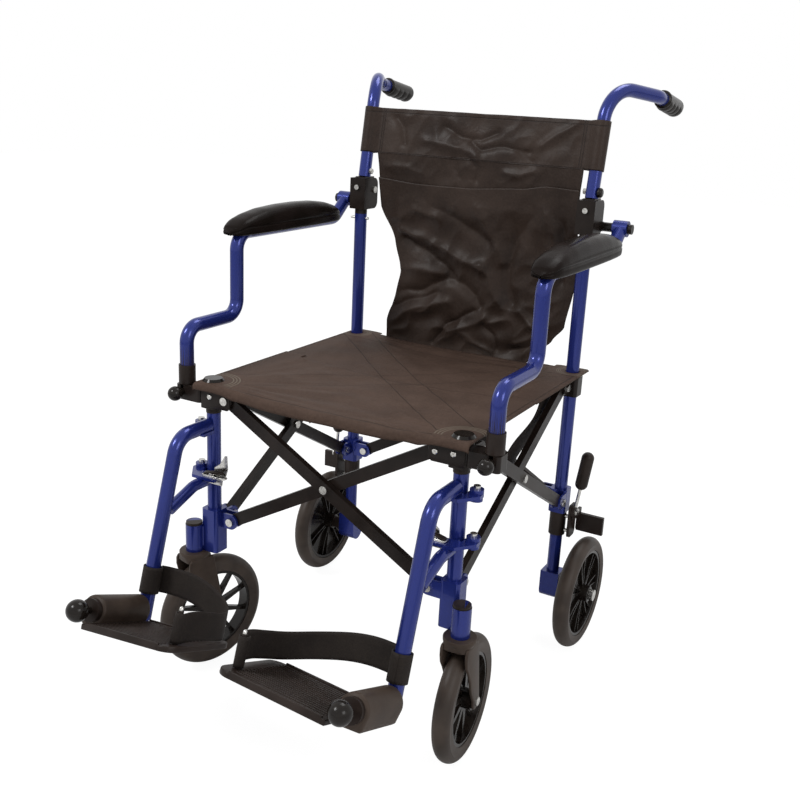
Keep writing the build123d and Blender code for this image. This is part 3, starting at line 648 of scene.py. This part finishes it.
# Crown of the fork: height, half width, front and rear edge, and how square its corners are.
CROWN = ((0.1965, 0.0168, -0.0200, 0.0225, 4), (0.1985, 0.0208, -0.0222, 0.0240, 4),
         (0.2035, 0.0213, -0.0224, 0.0242, 3.2), (0.2068, 0.0228, -0.0236, 0.0240, 2.4),
         (0.2078, 0.0244, -0.0244, 0.0244, 2), (0.2125, 0.0245, -0.0245, 0.0245, 2),
         (0.2137, 0.0236, -0.0236, 0.0236, 2), (0.2138, 0.0100, -0.0100, 0.0100, 2))
BOLT = ((0.0251, 0), (0.0251, 0.0052), (0.0240, 0.0066), (0.0210, 0.0066), (0.0210, 0.0038))
CASTERS = {"left": (1, radians(5)), "right": (-1, radians(-16))}
for side, (sign, turn) in CASTERS.items():
    stem = Matrix.Translation((sign * 0.241, -0.206, 0)) @ Matrix.Rotation(turn, 4, "Z")
    upright = stem @ Matrix(((0, 0, 1, 0), (1, 0, 0, 0), (0, 1, 0, 0), (0, 0, 0, 1)))
    boss = [(AXLE_BACK + BOSS_R * cos(radians(t)), AXLE_Z + BOSS_R * sin(radians(t)))
            for t in range(20, -201, -20)]
    outline = [(-0.019, 0.2045), (0.022, 0.2045), (0.0245, 0.198), *boss, *FORK_EDGE]
    legs = [plate("leg", outline, low, low + LEG_OUT - LEG_IN, upright, matt_nylon, 0.0018)
            for low in (LEG_IN, -LEG_OUT)]
    rings = []
    for z, half_x, front, rear, power in CROWN:
        ring = []
        for k in range(48):
            a = 2 * pi * k / 48
            ca, sa = cos(a), sin(a)
            x = half_x * abs(ca) ** (2 / power) * (1 if ca >= 0 else -1)
            y = abs(sa) ** (2 / power) * (rear if sa >= 0 else front)
            ring.append(stem @ Vector((x, y, z)))
        rings.append(ring)
    crown = creased(loft("crown", rings, matt_nylon), 50)
    axle = stem @ Vector((0, AXLE_BACK, AXLE_Z))
    way = (stem.to_3x3() @ Vector((1, 0, 0))).normalized()
    bolt = turned("bolt", [(-along, radius) for along, radius in BOLT] + list(BOLT[::-1]),
                  axle, way, zinc, 24)
    fork = joined("fork_" + side, *legs, crown, bolt)
    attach(fork, "caster_fork_" + side)
    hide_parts("caster_fork_" + side)
# Half of a rear wheel's disc, from its rim to its hub. It is stiffened by ribs in pairs.
DISC = ((0.0112, 0.0779), (0.0116, 0.0765), (0.0106, 0.0728), (0.0018, 0.0715), (0.0015, 0.0180),
        (0.0035, 0.0155), (0.0190, 0.0142), (0.0197, 0.0130), (0.0197, 0.0064))
RIB = ((-0.0085, 0.0735), (0.0085, 0.0735), (0.0075, 0.045), (0.0085, 0.0145), (-0.0085, 0.0145),
       (-0.0075, 0.045))
RIB_HALF = 0.0011
STAND = Matrix(((1, 0, 0, 0), (0, 0, -1, 0), (0, 1, 0, 0), (0, 0, 0, 1)))
for side, sign in SIDES:
    for name in ("caster", "rear"):
        dress(name + "_tyre_" + side, rubber)
    dress("caster_rim_" + side, polished)
    axle = Vector((sign * 0.270, 0.230, 0.100))
    other_half = [(-along, radius) for along, radius in DISC[::-1]]
    disc = turned("disc", [other_half[-1], *DISC, *other_half], axle, (1, 0, 0), polished, 72)
    ribs = []
    for k in range(7):
        for lean in (-6.5, 6.5):
            turn = Matrix.Rotation(radians(360 * k / 7 + lean + 12), 4, "X")
            ribs.append(plate("rib", RIB, -RIB_HALF, RIB_HALF, Matrix.Translation(axle) @ turn @ STAND,
                              polished, 0.0005))
    wheel = joined("rear_disc_" + side, disc, *ribs)
    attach(wheel, "rear_wheel_" + side)
    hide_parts("rear_rim_" + side)


# Arm pads: foam on a board, under smooth black vinyl. A seam runs round above the
# board, and the pad is crowned and rounded at its ends.
vinyl = coated("black_vinyl", (0.008, 0.006, 0.005), (0.013, 0.009, 0.008),
               18.0, 520.0, 0.00003, 0.25, Specular_IOR_Level=0.04)
PAD_LONG = 300
PAD_FRONT = FRONT_Y + 0.102
PAD_X = 0.266
PAD_Z = 0.708
PAD_W = 0.052
# Along a pad from its front: millimetres, share of the full width, and millimetres high.
PAD_SHAPE = ((0, 0.50, 10), (8, 0.70, 16), (22, 0.85, 24), (45, 0.94, 31), (80, 0.985, 37),
             (130, 1.0, 40), (180, 1.0, 40.5), (225, 0.985, 39), (260, 0.94, 35), (284, 0.86, 29),
             (PAD_LONG, 0.70, 21))


def pad_at(at):
    """Half width and height of a pad, at millimetres from its front end."""
    for (a, wa, ha), (b, wb, hb) in zip(PAD_SHAPE, PAD_SHAPE[1:]):
        if at <= b:
            t = (at - a) / (b - a)
            return (wa + (wb - wa) * t) * PAD_W / 2, (ha + (hb - ha) * t) / 1000
    return PAD_SHAPE[-1][1] * PAD_W / 2, PAD_SHAPE[-1][2] / 1000


for side, sign in SIDES:
    rings = []
    for j in range(76):
        at = PAD_LONG * j / 75
        near = [pad_at(min(PAD_LONG, max(0, at + d))) for d in (-5, -2.5, 0, 2.5, 5)]
        half, high = (sum(values) / 5 for values in zip(*near))
        end = min(at, PAD_LONG - at)
        shrink = (1 - (1 - min(1, end / 5)) ** 2) ** 0.5 if end < 5 else 1
        half = max(half * shrink, 0.001)
        high = max(high * (0.35 + 0.65 * shrink), 0.004)
        seam = min(0.013, 0.52 * high)
        section = [(0.0, 0.0), (half * 0.6, 0.0), (half - 0.0022, 0.0), (half - 0.0006, 0.0012),
                   (half, 0.0035), (half + 0.0001, seam - 0.003), (half - 0.0003, seam - 0.0012),
                   (half - 0.0018, seam - 0.0002), (half - 0.0004, seam + 0.0012)]
        for k in range(1, 13):
            turn = pi / 2 * k / 12
            section.append(((half - 0.0003) * cos(turn) ** 0.72 if k < 12 else 0.0,
                            seam + 0.0012 + (high - seam - 0.0012) * sin(turn) ** 0.9))
        ring = [(x, z) for x, z in section] + [(-x, z) for x, z in section[-2:0:-1]]
        rings.append([(sign * PAD_X + x, PAD_FRONT + at / 1000, PAD_Z + z) for x, z in ring])
    pad = loft("arm_cushion_" + side, rings, vinyl)
    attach(pad, "armrest_" + side)
    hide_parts("arm_pad_" + side)


# Seat: two woven nylon panels sewn across the middle. The front one is screwed to
# the front blocks, and the rear one has ears that go round the rear posts. Two bands
# of double stitching hold straps from corner to corner, and patches back the corners.
CELL = 0.0035
SEAT_TOP = 0.4985
SEAT_SAG = 0.0065
SEAT_HALF = 0.236
BAND_HALF = 0.027
SEAT_MID = 0.025
SEAT_HEM = 0.2285
THREADS = 2900
DIAGONAL = hypot(2 * POST_X, REAR_Y - FRONT_Y)

woven, place, shader = finish("woven_nylon", Roughness=0.7, Specular_IOR_Level=0.12)
across, along = place.axis(0), place.axis(1)
weave = ((across + along) * THREADS).sine() * ((along - across) * THREADS).sine()
cloud = place.speckle(16.0, 5.0)
streak = place.speckle(240.0, 3.0)
seams = None
for turn in (1, -1):
    off = across * turn * (REAR_Y - FRONT_Y) + (along - SEAT_MID) * 2 * POST_X
    line = 1 - abs(abs(off * (1 / DIAGONAL)) - BAND_HALF).clear(0.0004, 0.0014)
    seams = line if seams is None else seams.high(line * 0.7)
for edge in (FRONT_Y - 0.0155, 0.203, 0.2462):
    seams = seams.high(1 - abs(along - edge).clear(0.0004, 0.0013))
seams = seams.high(1 - abs(abs(across) - SEAT_HEM).clear(0.0004, 0.0013))
corner = ((abs(across) - POST_X) ** 2 + (abs(along - SEAT_MID) - 0.21) ** 2) ** 0.5
corner = corner * (along.clear(0.0, 0.05) * 0.5 + 1)
rings = None
for radius in (0.031, 0.036, 0.041):
    line = 1 - abs(corner - radius).clear(0.0005, 0.0014)
    rings = line if rings is None else rings.high(line)
rings = rings * along.clear(FRONT_Y - 0.013, FRONT_Y - 0.009)
patch = 1 - corner.clear(0.0425, 0.0432)
seams = seams * (1 - patch)
worn = (cloud * 0.6 + streak * 0.4).clear(0.3, 0.7)
body = worn.tint((0.050, 0.031, 0.023), (0.078, 0.050, 0.038))


def blended(mask, a, b):
    """Colour field a where the mask is 0, and the plain colour b where it is 1."""
    return mask.node("Mix", {"data_type": "RGBA"}, {0: mask, 6: a, 7: (*b, 1)}, 2)


body = blended(seams * 0.75, body, (0.016, 0.011, 0.008))
body = blended(rings * 0.75, body, (0.15, 0.13, 0.10))
plug(shader, Base_Color=body, Roughness=cloud * 0.2 + 0.58,
     Normal=(weave * 0.4 + streak - seams * 4 + patch * 2 + rings * 1.5).bump(0.0002, 0.5))


def grid(rows, across):
    """Faces over rows of points, with so many points across a row."""
    starts = [j * across + i for j in range(rows - 1) for i in range(across - 1)]
    return [(k, k + 1, k + across + 1, k + across) for k in starts]


def cloth(name, points, faces, thick, coat):
    """A closed sheet of cloth from its middle surface."""
    obj = piece(name, points, faces, coat)
    shell = obj.modifiers.new("thickness", "SOLIDIFY")
    shell.thickness = thick
    shell.offset = 0
    shell.use_even_offset = True
    bpy.context.view_layer.update()
    worked = obj.evaluated_get(bpy.context.evaluated_depsgraph_get())
    done = bpy.data.meshes.new_from_object(worked)
    obj.modifiers.clear()
    flat = obj.data
    obj.data = done
    bpy.data.meshes.remove(flat)
    done.name = name
    for face in done.polygons:
        face.use_smooth = True
    return obj


def seat_height(x, y):
    """Sag between the sides, and small puckers that run from the corners."""
    t = min(1, abs(x) / 0.198)
    sag = SEAT_SAG * (1 - t * t) ** 1.3
    near_x = min(abs(x + POST_X), abs(x - POST_X))
    near_y = min(abs(y - REAR_Y), abs(y - FRONT_Y))
    turn = atan2(near_y, near_x)
    reach = hypot(near_x, near_y)
    pucker = noise.noise(Vector((turn * 7, reach * 6, x * 2))) * 0.0024 * min(1, reach * 12)
    pucker *= 1 - t ** 6
    ripple = noise.noise(Vector((x * 22, y * 40, 1.7))) * 0.0011 * (1 - t ** 6)
    return pucker + ripple - sag


POST_HOLE = 0.0121
HEM_FROM = 0.2325


def seat_half(name, z, keep, y0, y1, hem):
    """A panel from y0 to y1 where keep says. hem is the depth of its turned-down front edge."""
    nx = round(2 * SEAT_HALF / CELL)
    ny = round((y1 - y0) / CELL)
    points, faces, at = [], [], {}

    def point(i, j):
        if (i, j) not in at:
            x = -SEAT_HALF + 2 * SEAT_HALF * i / nx
            y = y0 + (y1 - y0) * j / ny if j >= 0 else y0 - 0.0003 + 0.0012 * j
            drop = 0.0022 * max(0, 1 - (y - y0) / 0.004) ** 2 if hem else 0
            drop += hem * max(0, -j) / 3 * (1 - 0.6 * min(1, max(0, (abs(x) - 0.16) / 0.02)))
            lip = 0.002 * max(0, (abs(x) - HEM_FROM) / (SEAT_HALF - HEM_FROM)) ** 2
            at[i, j] = len(points)
            spot_z = z + seat_height(x, max(y, y0)) - drop - lip
            near = Vector((abs(x) - POST_X, y - REAR_Y))
            if 0.006 < near.length < POST_HOLE:
                near *= POST_HOLE / near.length
                x = (POST_X + near.x) * (1 if x > 0 else -1)
                y = REAR_Y + near.y
            points.append((x, max(y, y0 - 0.0012), spot_z))
        return at[i, j]

    for i in range(nx):
        for j in range(-3 if hem else 0, ny):
            x = -SEAT_HALF + 2 * SEAT_HALF * (i + 0.5) / nx
            y = y0 + (y1 - y0) * (j + 0.5) / ny
            if keep(x, y):
                faces.append((point(i, j), point(i + 1, j), point(i + 1, j + 1), point(i, j + 1)))
    return cloth(name, points, faces, 0.0013, woven)


front_seat = seat_half("seat_front", SEAT_TOP + 0.0009,
                       lambda x, y: (y < 0.012 or abs(x) > 0.192)
                       and hypot(abs(x) - POST_X, y - FRONT_Y) > 0.005,
                       FRONT_Y - 0.024, 0.030, 0.006)
rear_seat = seat_half("seat_rear", SEAT_TOP - 0.0007,
                      lambda x, y: (y < REAR_Y + 0.018 or abs(x) > 0.178)
                      and (y > 0.028 or abs(x) < 0.205)
                      and hypot(abs(x) - POST_X, y - REAR_Y) > 0.0095,
                      0.002, REAR_Y + 0.028, 0)
for seat, body in ((front_seat, "front_block_right"), (rear_seat, "rear_block_right")):
    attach(seat, body)
    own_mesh(seat)
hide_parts("seat_sling")


# Back: nylon cloth whose top band is sewn into sleeves round the handle tubes. It is
# slack below the sleeves, hangs behind the posts in deep creases, and narrows towards
# the seat. Its lower panel laps in front of the shoulder, so the back can fold.
BACK_FOOT = 0.481
SLEEVE_LOW = 0.831
BACK_TOP = 0.909
TUBE_SLOPE = 32 / 185
back_nylon, place, shader = finish("creased_nylon", Roughness=0.5, Specular_IOR_Level=0.15)
across, up = place.axis(0), place.axis(2)
cloud = place.speckle(14.0, 5.0)
streak = place.speckle(260.0, 3.0)
crumple = place.speckle(38.0, 4.0, Distortion=1.2)
seams = 1 - abs(up - (SLEEVE_LOW + 0.002)).clear(0.0004, 0.0013)
seams = seams.high(1 - abs(up - (BACK_TOP - 0.007)).clear(0.0004, 0.0013))
band = up.clear(SLEEVE_LOW, SLEEVE_LOW + 0.002)
for edge in (0.1865, 0.1905):
    seams = seams.high((1 - abs(abs(across) - edge).clear(0.0004, 0.0012)) * band)
worn = (cloud * 0.7 + streak * 0.3).clear(0.3, 0.7)
body = worn.tint((0.019, 0.0120, 0.0092), (0.037, 0.0245, 0.0190))
plug(shader, Base_Color=blended(seams * 0.6, body, (0.012, 0.008, 0.007)),
     Roughness=cloud * 0.2 + 0.34, Normal=(crumple * 8 + streak - seams * 4).bump(0.0002, 0.6))

# The sides of the slack cloth as height and X, and the lap's edge as X and height.
RIGHT_EDGE = ((BACK_FOOT, -0.165), (0.529, -0.165), (0.578, -0.150), (0.626, -0.140),
              (0.679, -0.155), (0.738, -0.183), (0.800, -0.1895), (0.836, -0.194))
LEFT_EDGE = ((BACK_FOOT, 0.110), (0.492, 0.122), (0.514, 0.142), (0.538, 0.165), (0.565, 0.185),
             (0.635, 0.196), (0.736, 0.195), (0.784, 0.193), (0.836, 0.196))
LAP_EDGE = ((-0.195, 0.789), (-0.105, 0.783), (-0.015, 0.784), (0.090, 0.792), (0.136, 0.800),
            (0.195, 0.798))
# Creases: how many times CREASE_RISE they stand forward, their half width, and the line
# that they follow in X and Z.
CREASE_RISE = 0.00165
CREASES = (
    (4.5, 0.011, ((-0.143, 0.700), (-0.100, 0.689), (-0.054, 0.671), (-0.014, 0.656), (0.020, 0.654))),
    (-5.0, 0.010, ((-0.135, 0.683), (-0.089, 0.661), (-0.048, 0.638), (-0.025, 0.618), (0.012, 0.597),
                   (0.022, 0.577))),
    (3.0, 0.009, ((-0.150, 0.628), (-0.096, 0.630), (-0.052, 0.630))),
    (-4.0, 0.010, ((-0.141, 0.584), (-0.094, 0.594), (-0.064, 0.610), (-0.043, 0.626))),
    (4.0, 0.009, ((-0.166, 0.520), (-0.123, 0.547), (-0.074, 0.569), (-0.040, 0.577))),
    (-3.5, 0.008, ((-0.156, 0.555), (-0.106, 0.573), (-0.062, 0.590))),
    (4.5, 0.010, ((0.020, 0.654), (0.038, 0.636), (0.049, 0.610), (0.068, 0.584), (0.105, 0.578),
                  (0.127, 0.560))),
    (-6.0, 0.014, ((0.105, 0.760), (0.079, 0.698), (0.069, 0.647), (0.076, 0.610), (0.086, 0.590))),
    (3.5, 0.010, ((-0.006, 0.775), (0.013, 0.747), (0.041, 0.701), (0.058, 0.662))),
    (-4.0, 0.011, ((-0.105, 0.779), (-0.064, 0.747), (-0.001, 0.711), (0.033, 0.694))),
    (3.0, 0.009, ((-0.165, 0.716), (-0.116, 0.734), (-0.071, 0.731))),
    (3.5, 0.010, ((0.132, 0.766), (0.147, 0.731), (0.154, 0.690), (0.150, 0.640))),
    (-3.5, 0.009, ((0.170, 0.785), (0.166, 0.745), (0.172, 0.690), (0.176, 0.640))),
    (3.0, 0.006, ((0.036, 0.561), (0.003, 0.537), (-0.035, 0.518))),
    (-3.5, 0.006, ((0.009, 0.569), (-0.015, 0.547), (-0.041, 0.534), (-0.065, 0.500))),
    (3.0, 0.007, ((0.098, 0.524), (0.133, 0.545), (0.151, 0.567))),
    (-3.0, 0.007, ((0.087, 0.508), (0.115, 0.516), (0.146, 0.534))),
    (-2.5, 0.005, ((0.030, 0.548), (0.052, 0.530), (0.060, 0.505))),
    (2.5, 0.005, ((-0.005, 0.522), (0.020, 0.510), (0.050, 0.498))),
    (-3.0, 0.006, ((-0.166, 0.893), (-0.148, 0.876), (-0.142, 0.852))),
    (-2.5, 0.006, ((-0.066, 0.881), (-0.028, 0.870), (0.006, 0.867), (0.037, 0.880))),
    (-2.5, 0.005, ((-0.011, 0.862), (0.007, 0.848), (0.055, 0.855), (0.098, 0.853))),
    (2.5, 0.008, ((-0.100, 0.862), (-0.050, 0.854), (0.000, 0.838))),
    (-2.0, 0.006, ((0.079, 0.852), (0.104, 0.838))),
    (2.5, 0.007, ((0.117, 0.864), (0.145, 0.884), (0.178, 0.900))),
    (-2.0, 0.006, ((-0.044, 0.829), (-0.033, 0.802))),
    (-2.5, 0.006, ((-0.011, 0.835), (0.007, 0.820), (0.001, 0.800))),
    (2.5, 0.007, ((0.060, 0.815), (0.089, 0.812), (0.111, 0.821))),
    (2.0, 0.007, ((-0.175, 0.812), (-0.142, 0.806), (-0.106, 0.800))),
)


def along_edge(edge, z):
    """The second value of an edge's points at the first, eased from point to point."""
    if z <= edge[0][0]:
        return edge[0][1]
    for (z0, x0), (z1, x1) in zip(edge, edge[1:]):
        if z <= z1:
            t = (z - z0) / (z1 - z0)
            return x0 + (x1 - x0) * (0.5 * t + 0.5 * t * t * (3 - 2 * t))
    return edge[-1][1]


def crease(x, z):
    """How far the slack cloth stands forward of its mean surface, with its fine crumple."""
    bent_x = x + 0.006 * noise.noise(Vector((x * 25, z * 25, 5.5)))
    bent_z = z + 0.006 * noise.noise(Vector((x * 25, z * 25, 9.1)))
    rise = 0.0
    for high, half, line in CREASES:
        best = 1.0
        for (x0, z0), (x1, z1) in zip(line, line[1:]):
            dx, dz = x1 - x0, z1 - z0
            t = ((bent_x - x0) * dx + (bent_z - z0) * dz) / (dx * dx + dz * dz)
            t = min(1, max(0, t))
            best = min(best, hypot(bent_x - x0 - t * dx, bent_z - z0 - t * dz))
        if best < 3 * half:
            rise += high * CREASE_RISE * exp(-((best / half) ** 1.5))
    broad = noise.noise(Vector((x * 12 + z * 5, z * 11 - x * 4, 3.1)))
    sharp = abs(noise.noise(Vector((x * 26 - z * 14, z * 24 + x * 6, 7.7))))
    foot = max(0, min(1, (0.60 - z) / 0.06))
    return rise + 0.0022 * broad + (0.0014 + 0.0020 * foot) * (1 - 3.2 * sharp)


def ease(value, start, end):
    """0 up to start, 1 from end on, smooth between."""
    t = min(1, max(0, (value - start) / (end - start)))
    return t * t * (3 - 2 * t)


SHOULDER_SLOPE = 0.0394
LAP_FROM = 0.757
BACK_CELL = 0.0022


def shoulder_y(z):
    """Mean surface of the shoulder panel, which leans forward as it rises."""
    return REAR_Y + 0.018 - (z - PIN_Z) * SHOULDER_SLOPE


def body_y(z):
    """Mean surface of the lower panel: behind the posts, then in front of the shoulder."""
    forward = 0.0106 * ease(z, 0.69, LAP_FROM)
    return REAR_Y + 0.0256 - forward - max(0, z - LAP_FROM) * SHOULDER_SLOPE


def back_piece(name, z0, top, mean, limit, calm, body):
    """A slack panel from z0 to top. At a height, mean is its surface, limit the most its
    creases stand forward and back, and calm how much of them is left."""
    nx, nz = 176, round((top(0) - z0) / BACK_CELL)
    points = []
    for j in range(nz + 1):
        for i in range(nx + 1):
            x = -0.19 + 0.38 * i / nx
            z = z0 + (top(x) - z0) * j / nz
            a, b = along_edge(RIGHT_EDGE, z), along_edge(LEFT_EDGE, z)
            x = a + (b - a) * i / nx
            z = z0 + (top(x) - z0) * j / nz
            ahead, behind = limit(z)
            middle = ease(z, 0.515, 0.55) * (1 - ease(z, 0.71, 0.75))
            ahead += 0.007 * ease(0.185 - abs(x), 0, 0.035) * middle
            rise = max(-behind, min(ahead, crease(x, z) * calm(z)))
            from_side = min(i, nx - i)
            hem = 0.0006 * (1 - ease(from_side, 0, 5))
            points.append((x, mean(z) - rise * (0.35 + 0.65 * ease(from_side, 0, 14)) - hem, z))
    obj = cloth(name, points, grid(nz + 1, nx + 1), 0.0010, back_nylon)
    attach(obj, body)
    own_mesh(obj)
    return obj


lower = back_piece("back_body", BACK_FOOT, lambda x: along_edge(LAP_EDGE, x), body_y,
                   lambda z: (0.0043, 0.009 - 0.0075 * ease(z, 0.70, 0.765)),
                   lambda z: 1 - 0.75 * ease(z, 0.74, 0.775), "rear_frame_right")
middle = back_piece("back_shoulder", PIN_Z + 0.0004, lambda x: SLEEVE_LOW + 0.004, shoulder_y,
                    lambda z: (0.0005 + 0.004 * ease(z, 0.792, 0.815), 0.004 * ease(z, 0.77, 0.80)),
                    lambda z: ease(z, 0.77, 0.80), "back_tube_right")
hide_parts("back_lower")

SLEEVE_R = 0.0124
SLEEVE_IN = 0.020
JOIN = POST_X - SLEEVE_IN
lean = atan2(32, 185)
seam_at = Vector((0, REAR_Y + 0.008 + (SLEEVE_LOW - HANDLE_Z) * TUBE_SLOPE, SLEEVE_LOW))
up_dir = Vector((0, sin(lean), cos(lean)))
out_dir = Vector((0, cos(lean), -sin(lean)))
first = acos(SLEEVE_R / SLEEVE_IN)
wrap = [first + (2 * pi - 2 * first) * k / 22 for k in range(23)]
loop = [(-JOIN, 0.0014)] + [(-POST_X + SLEEVE_R * cos(a), SLEEVE_R * sin(a)) for a in wrap]
flat_run = [(-JOIN + 2 * JOIN * k / 170, -0.0004) for k in range(171)]
path = loop + flat_run + [(-x, out) for x, out in reversed(loop)]
rows = 36
height = (BACK_TOP - SLEEVE_LOW) / cos(lean)
points = []
for j in range(rows + 1):
    rise = height * j / rows
    for x, out in path:
        fold = 0.0
        if abs(x) < JOIN:
            fold = crease(x, SLEEVE_LOW + rise) * ease(JOIN - abs(x), 0, 0.03)
            fold = max(-0.004, min(0.005, fold))
        points.append(seam_at + up_dir * rise + out_dir * (out - fold) + Vector((x, 0, 0)))
upper = cloth("back_band", points, grid(rows + 1, len(path)), 0.0014, back_nylon)
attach(upper, "back_tube_right")
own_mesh(upper)
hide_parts("back_upper")


# Straps: 40 mm black webbing. A heel strap is looped round the leg tube, hangs slack
# behind the footplate and ends round the stay near the plate's front inner corner. A
# side strap holds each rear corner of the seat down to the side scissor's crossing.
webbing, place, shader = finish("black_webbing", Roughness=0.72, Specular_IOR_Level=0.2)
streak = place.speckle(500.0, 2.0)
cloud = place.speckle(30.0, 3.0)
rib = place.node("TexWave", {"wave_type": "BANDS", "bands_direction": "DIAGONAL"},
                 {"Vector": place, "Scale": 260.0, "Distortion": 1.5, "Detail": 2.0})
worn = (streak * 0.5 + cloud * 0.5).clear(0.3, 0.7)
plug(shader, Base_Color=worn.tint((0.010, 0.007, 0.006), (0.020, 0.015, 0.012)),
     Normal=(rib + streak).bump(0.00025, 0.5))


def ribbon(name, line, wide, lift):
    """Webbing along a line of middle points. wide gives its half width as a vector, and
    lift how far it waves at v, which goes from -1 to 1 across it."""
    points = []
    for i, at in enumerate(line):
        for j in range(9):
            v = j / 8 * 2 - 1
            points.append(at + wide(i) * v + lift(i, v))
    strap = cloth(name, points, grid(len(line), 9), 0.0018, webbing)
    return strap


LEG_BACK = Vector((0, LEG_UP.z, -LEG_UP.y))
STRAP_AT = Vector((0.216, -0.33435, 0.22230))
STRAP_DROP = 0.0085
STAY_BACK = -0.1273
STAY_LOOP = 0.0065
TUBE_LOOP = 0.0134
OVERLAP = 0.0008
SLACK = ((0.004, 0.0158), (0.050, 0.0205), (0.100, 0.0150), (0.145, -0.0040), (0.1710, -0.0350),
         (0.1765, -0.0720), (0.1740, -0.1040), (0.1702, -0.1250))
SLACK_STEPS = 8 * (len(SLACK) - 1)
SEAT_STRAP = (Vector((0.194, 0.2055, 0.4825)), Vector((0.194, 0.038, 0.387)))
for side, sign in SIDES:
    def spot(x, back, sign=sign):
        """Point at x inboard of the leg tube's axis and back behind it, in the strap's plane."""
        at = STRAP_AT + LEG_BACK * back - Vector((x, 0, 0))
        return Vector((sign * at.x, at.y, at.z))

    line = []
    for k in range(45):
        turn, radius = radians(-100 + 380 * k / 44), TUBE_LOOP + OVERLAP * k / 44
        line.append(spot(-radius * cos(turn), radius * sin(turn)))
    loop = ribbon("heel_loop_" + side, line, lambda i: LEG_UP * 0.020, lambda i, v: Vector())
    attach(loop, "leg_rest_" + side)

    line = []
    route = [SLACK[0], *SLACK, SLACK[-1]]
    for before, start_at, end_at, after in zip(route, route[1:], route[2:], route[3:]):
        for k in range(8):
            t = k / 8
            x, back = (0.5 * (2 * b + (c - a) * t + (2 * a - 5 * b + 4 * c - d) * t * t
                              + (3 * b - a - 3 * c + d) * t ** 3)
                       for a, b, c, d in zip(before, start_at, end_at, after))
            way = len(line) / SLACK_STEPS
            drop = (STRAP_DROP * ease(way, 0.15, 0.6) + 0.0070 * sin(pi * way) ** 2
                    - 0.003 * sin(3 * pi * way))
            line.append(spot(x, back) - LEG_UP * drop)
    for k in range(19):
        turn = radians(8 - 250 * k / 18)
        at = spot(STAY_IN + STAY_LOOP * cos(turn), STAY_BACK + STAY_LOOP * sin(turn))
        line.append(at - LEG_UP * STRAP_DROP)
    band = ribbon("heel_band_" + side, line,
                  lambda i: LEG_UP * (0.0205 - 0.0010 * sin(pi * min(1, i / SLACK_STEPS))),
                  lambda i, v: (Vector((0.001 * v * sin(i / 9), 0, 0))
                                + LEG_BACK * 0.0022 * v * sin(i / 9) * (i <= SLACK_STEPS)))
    spot(0.02, 0.016)
    spot(0.145, -0.004)
    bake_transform(band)
    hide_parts("heel_strap_" + side)

    top, foot = SEAT_STRAP
    line = []
    for k in range(37):
        t = k / 36
        at = top.lerp(foot, t)
        at.x += 0.005 * sin(pi * t) * sin(5 * t) - 0.001
        at.z -= 0.010 * sin(pi * t)
        line.append(Vector((sign * at.x, at.y, at.z)))
    run = (foot - top).normalized()
    broad = Vector((0, -run.z, run.y))
    strap = ribbon("seat_strap_" + side, line,
                   lambda i: (broad * (0.0155 + 0.0025 * ease(i, 4, 14))
                              + Vector((0.003 * sin(i / 5), 0, 0))),
                   lambda i, v: Vector((0.0015 * sin(i / 4 + 2 * v), 0, 0)))
    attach(strap, "rear_block_" + side)
    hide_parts("side_strap_" + side)
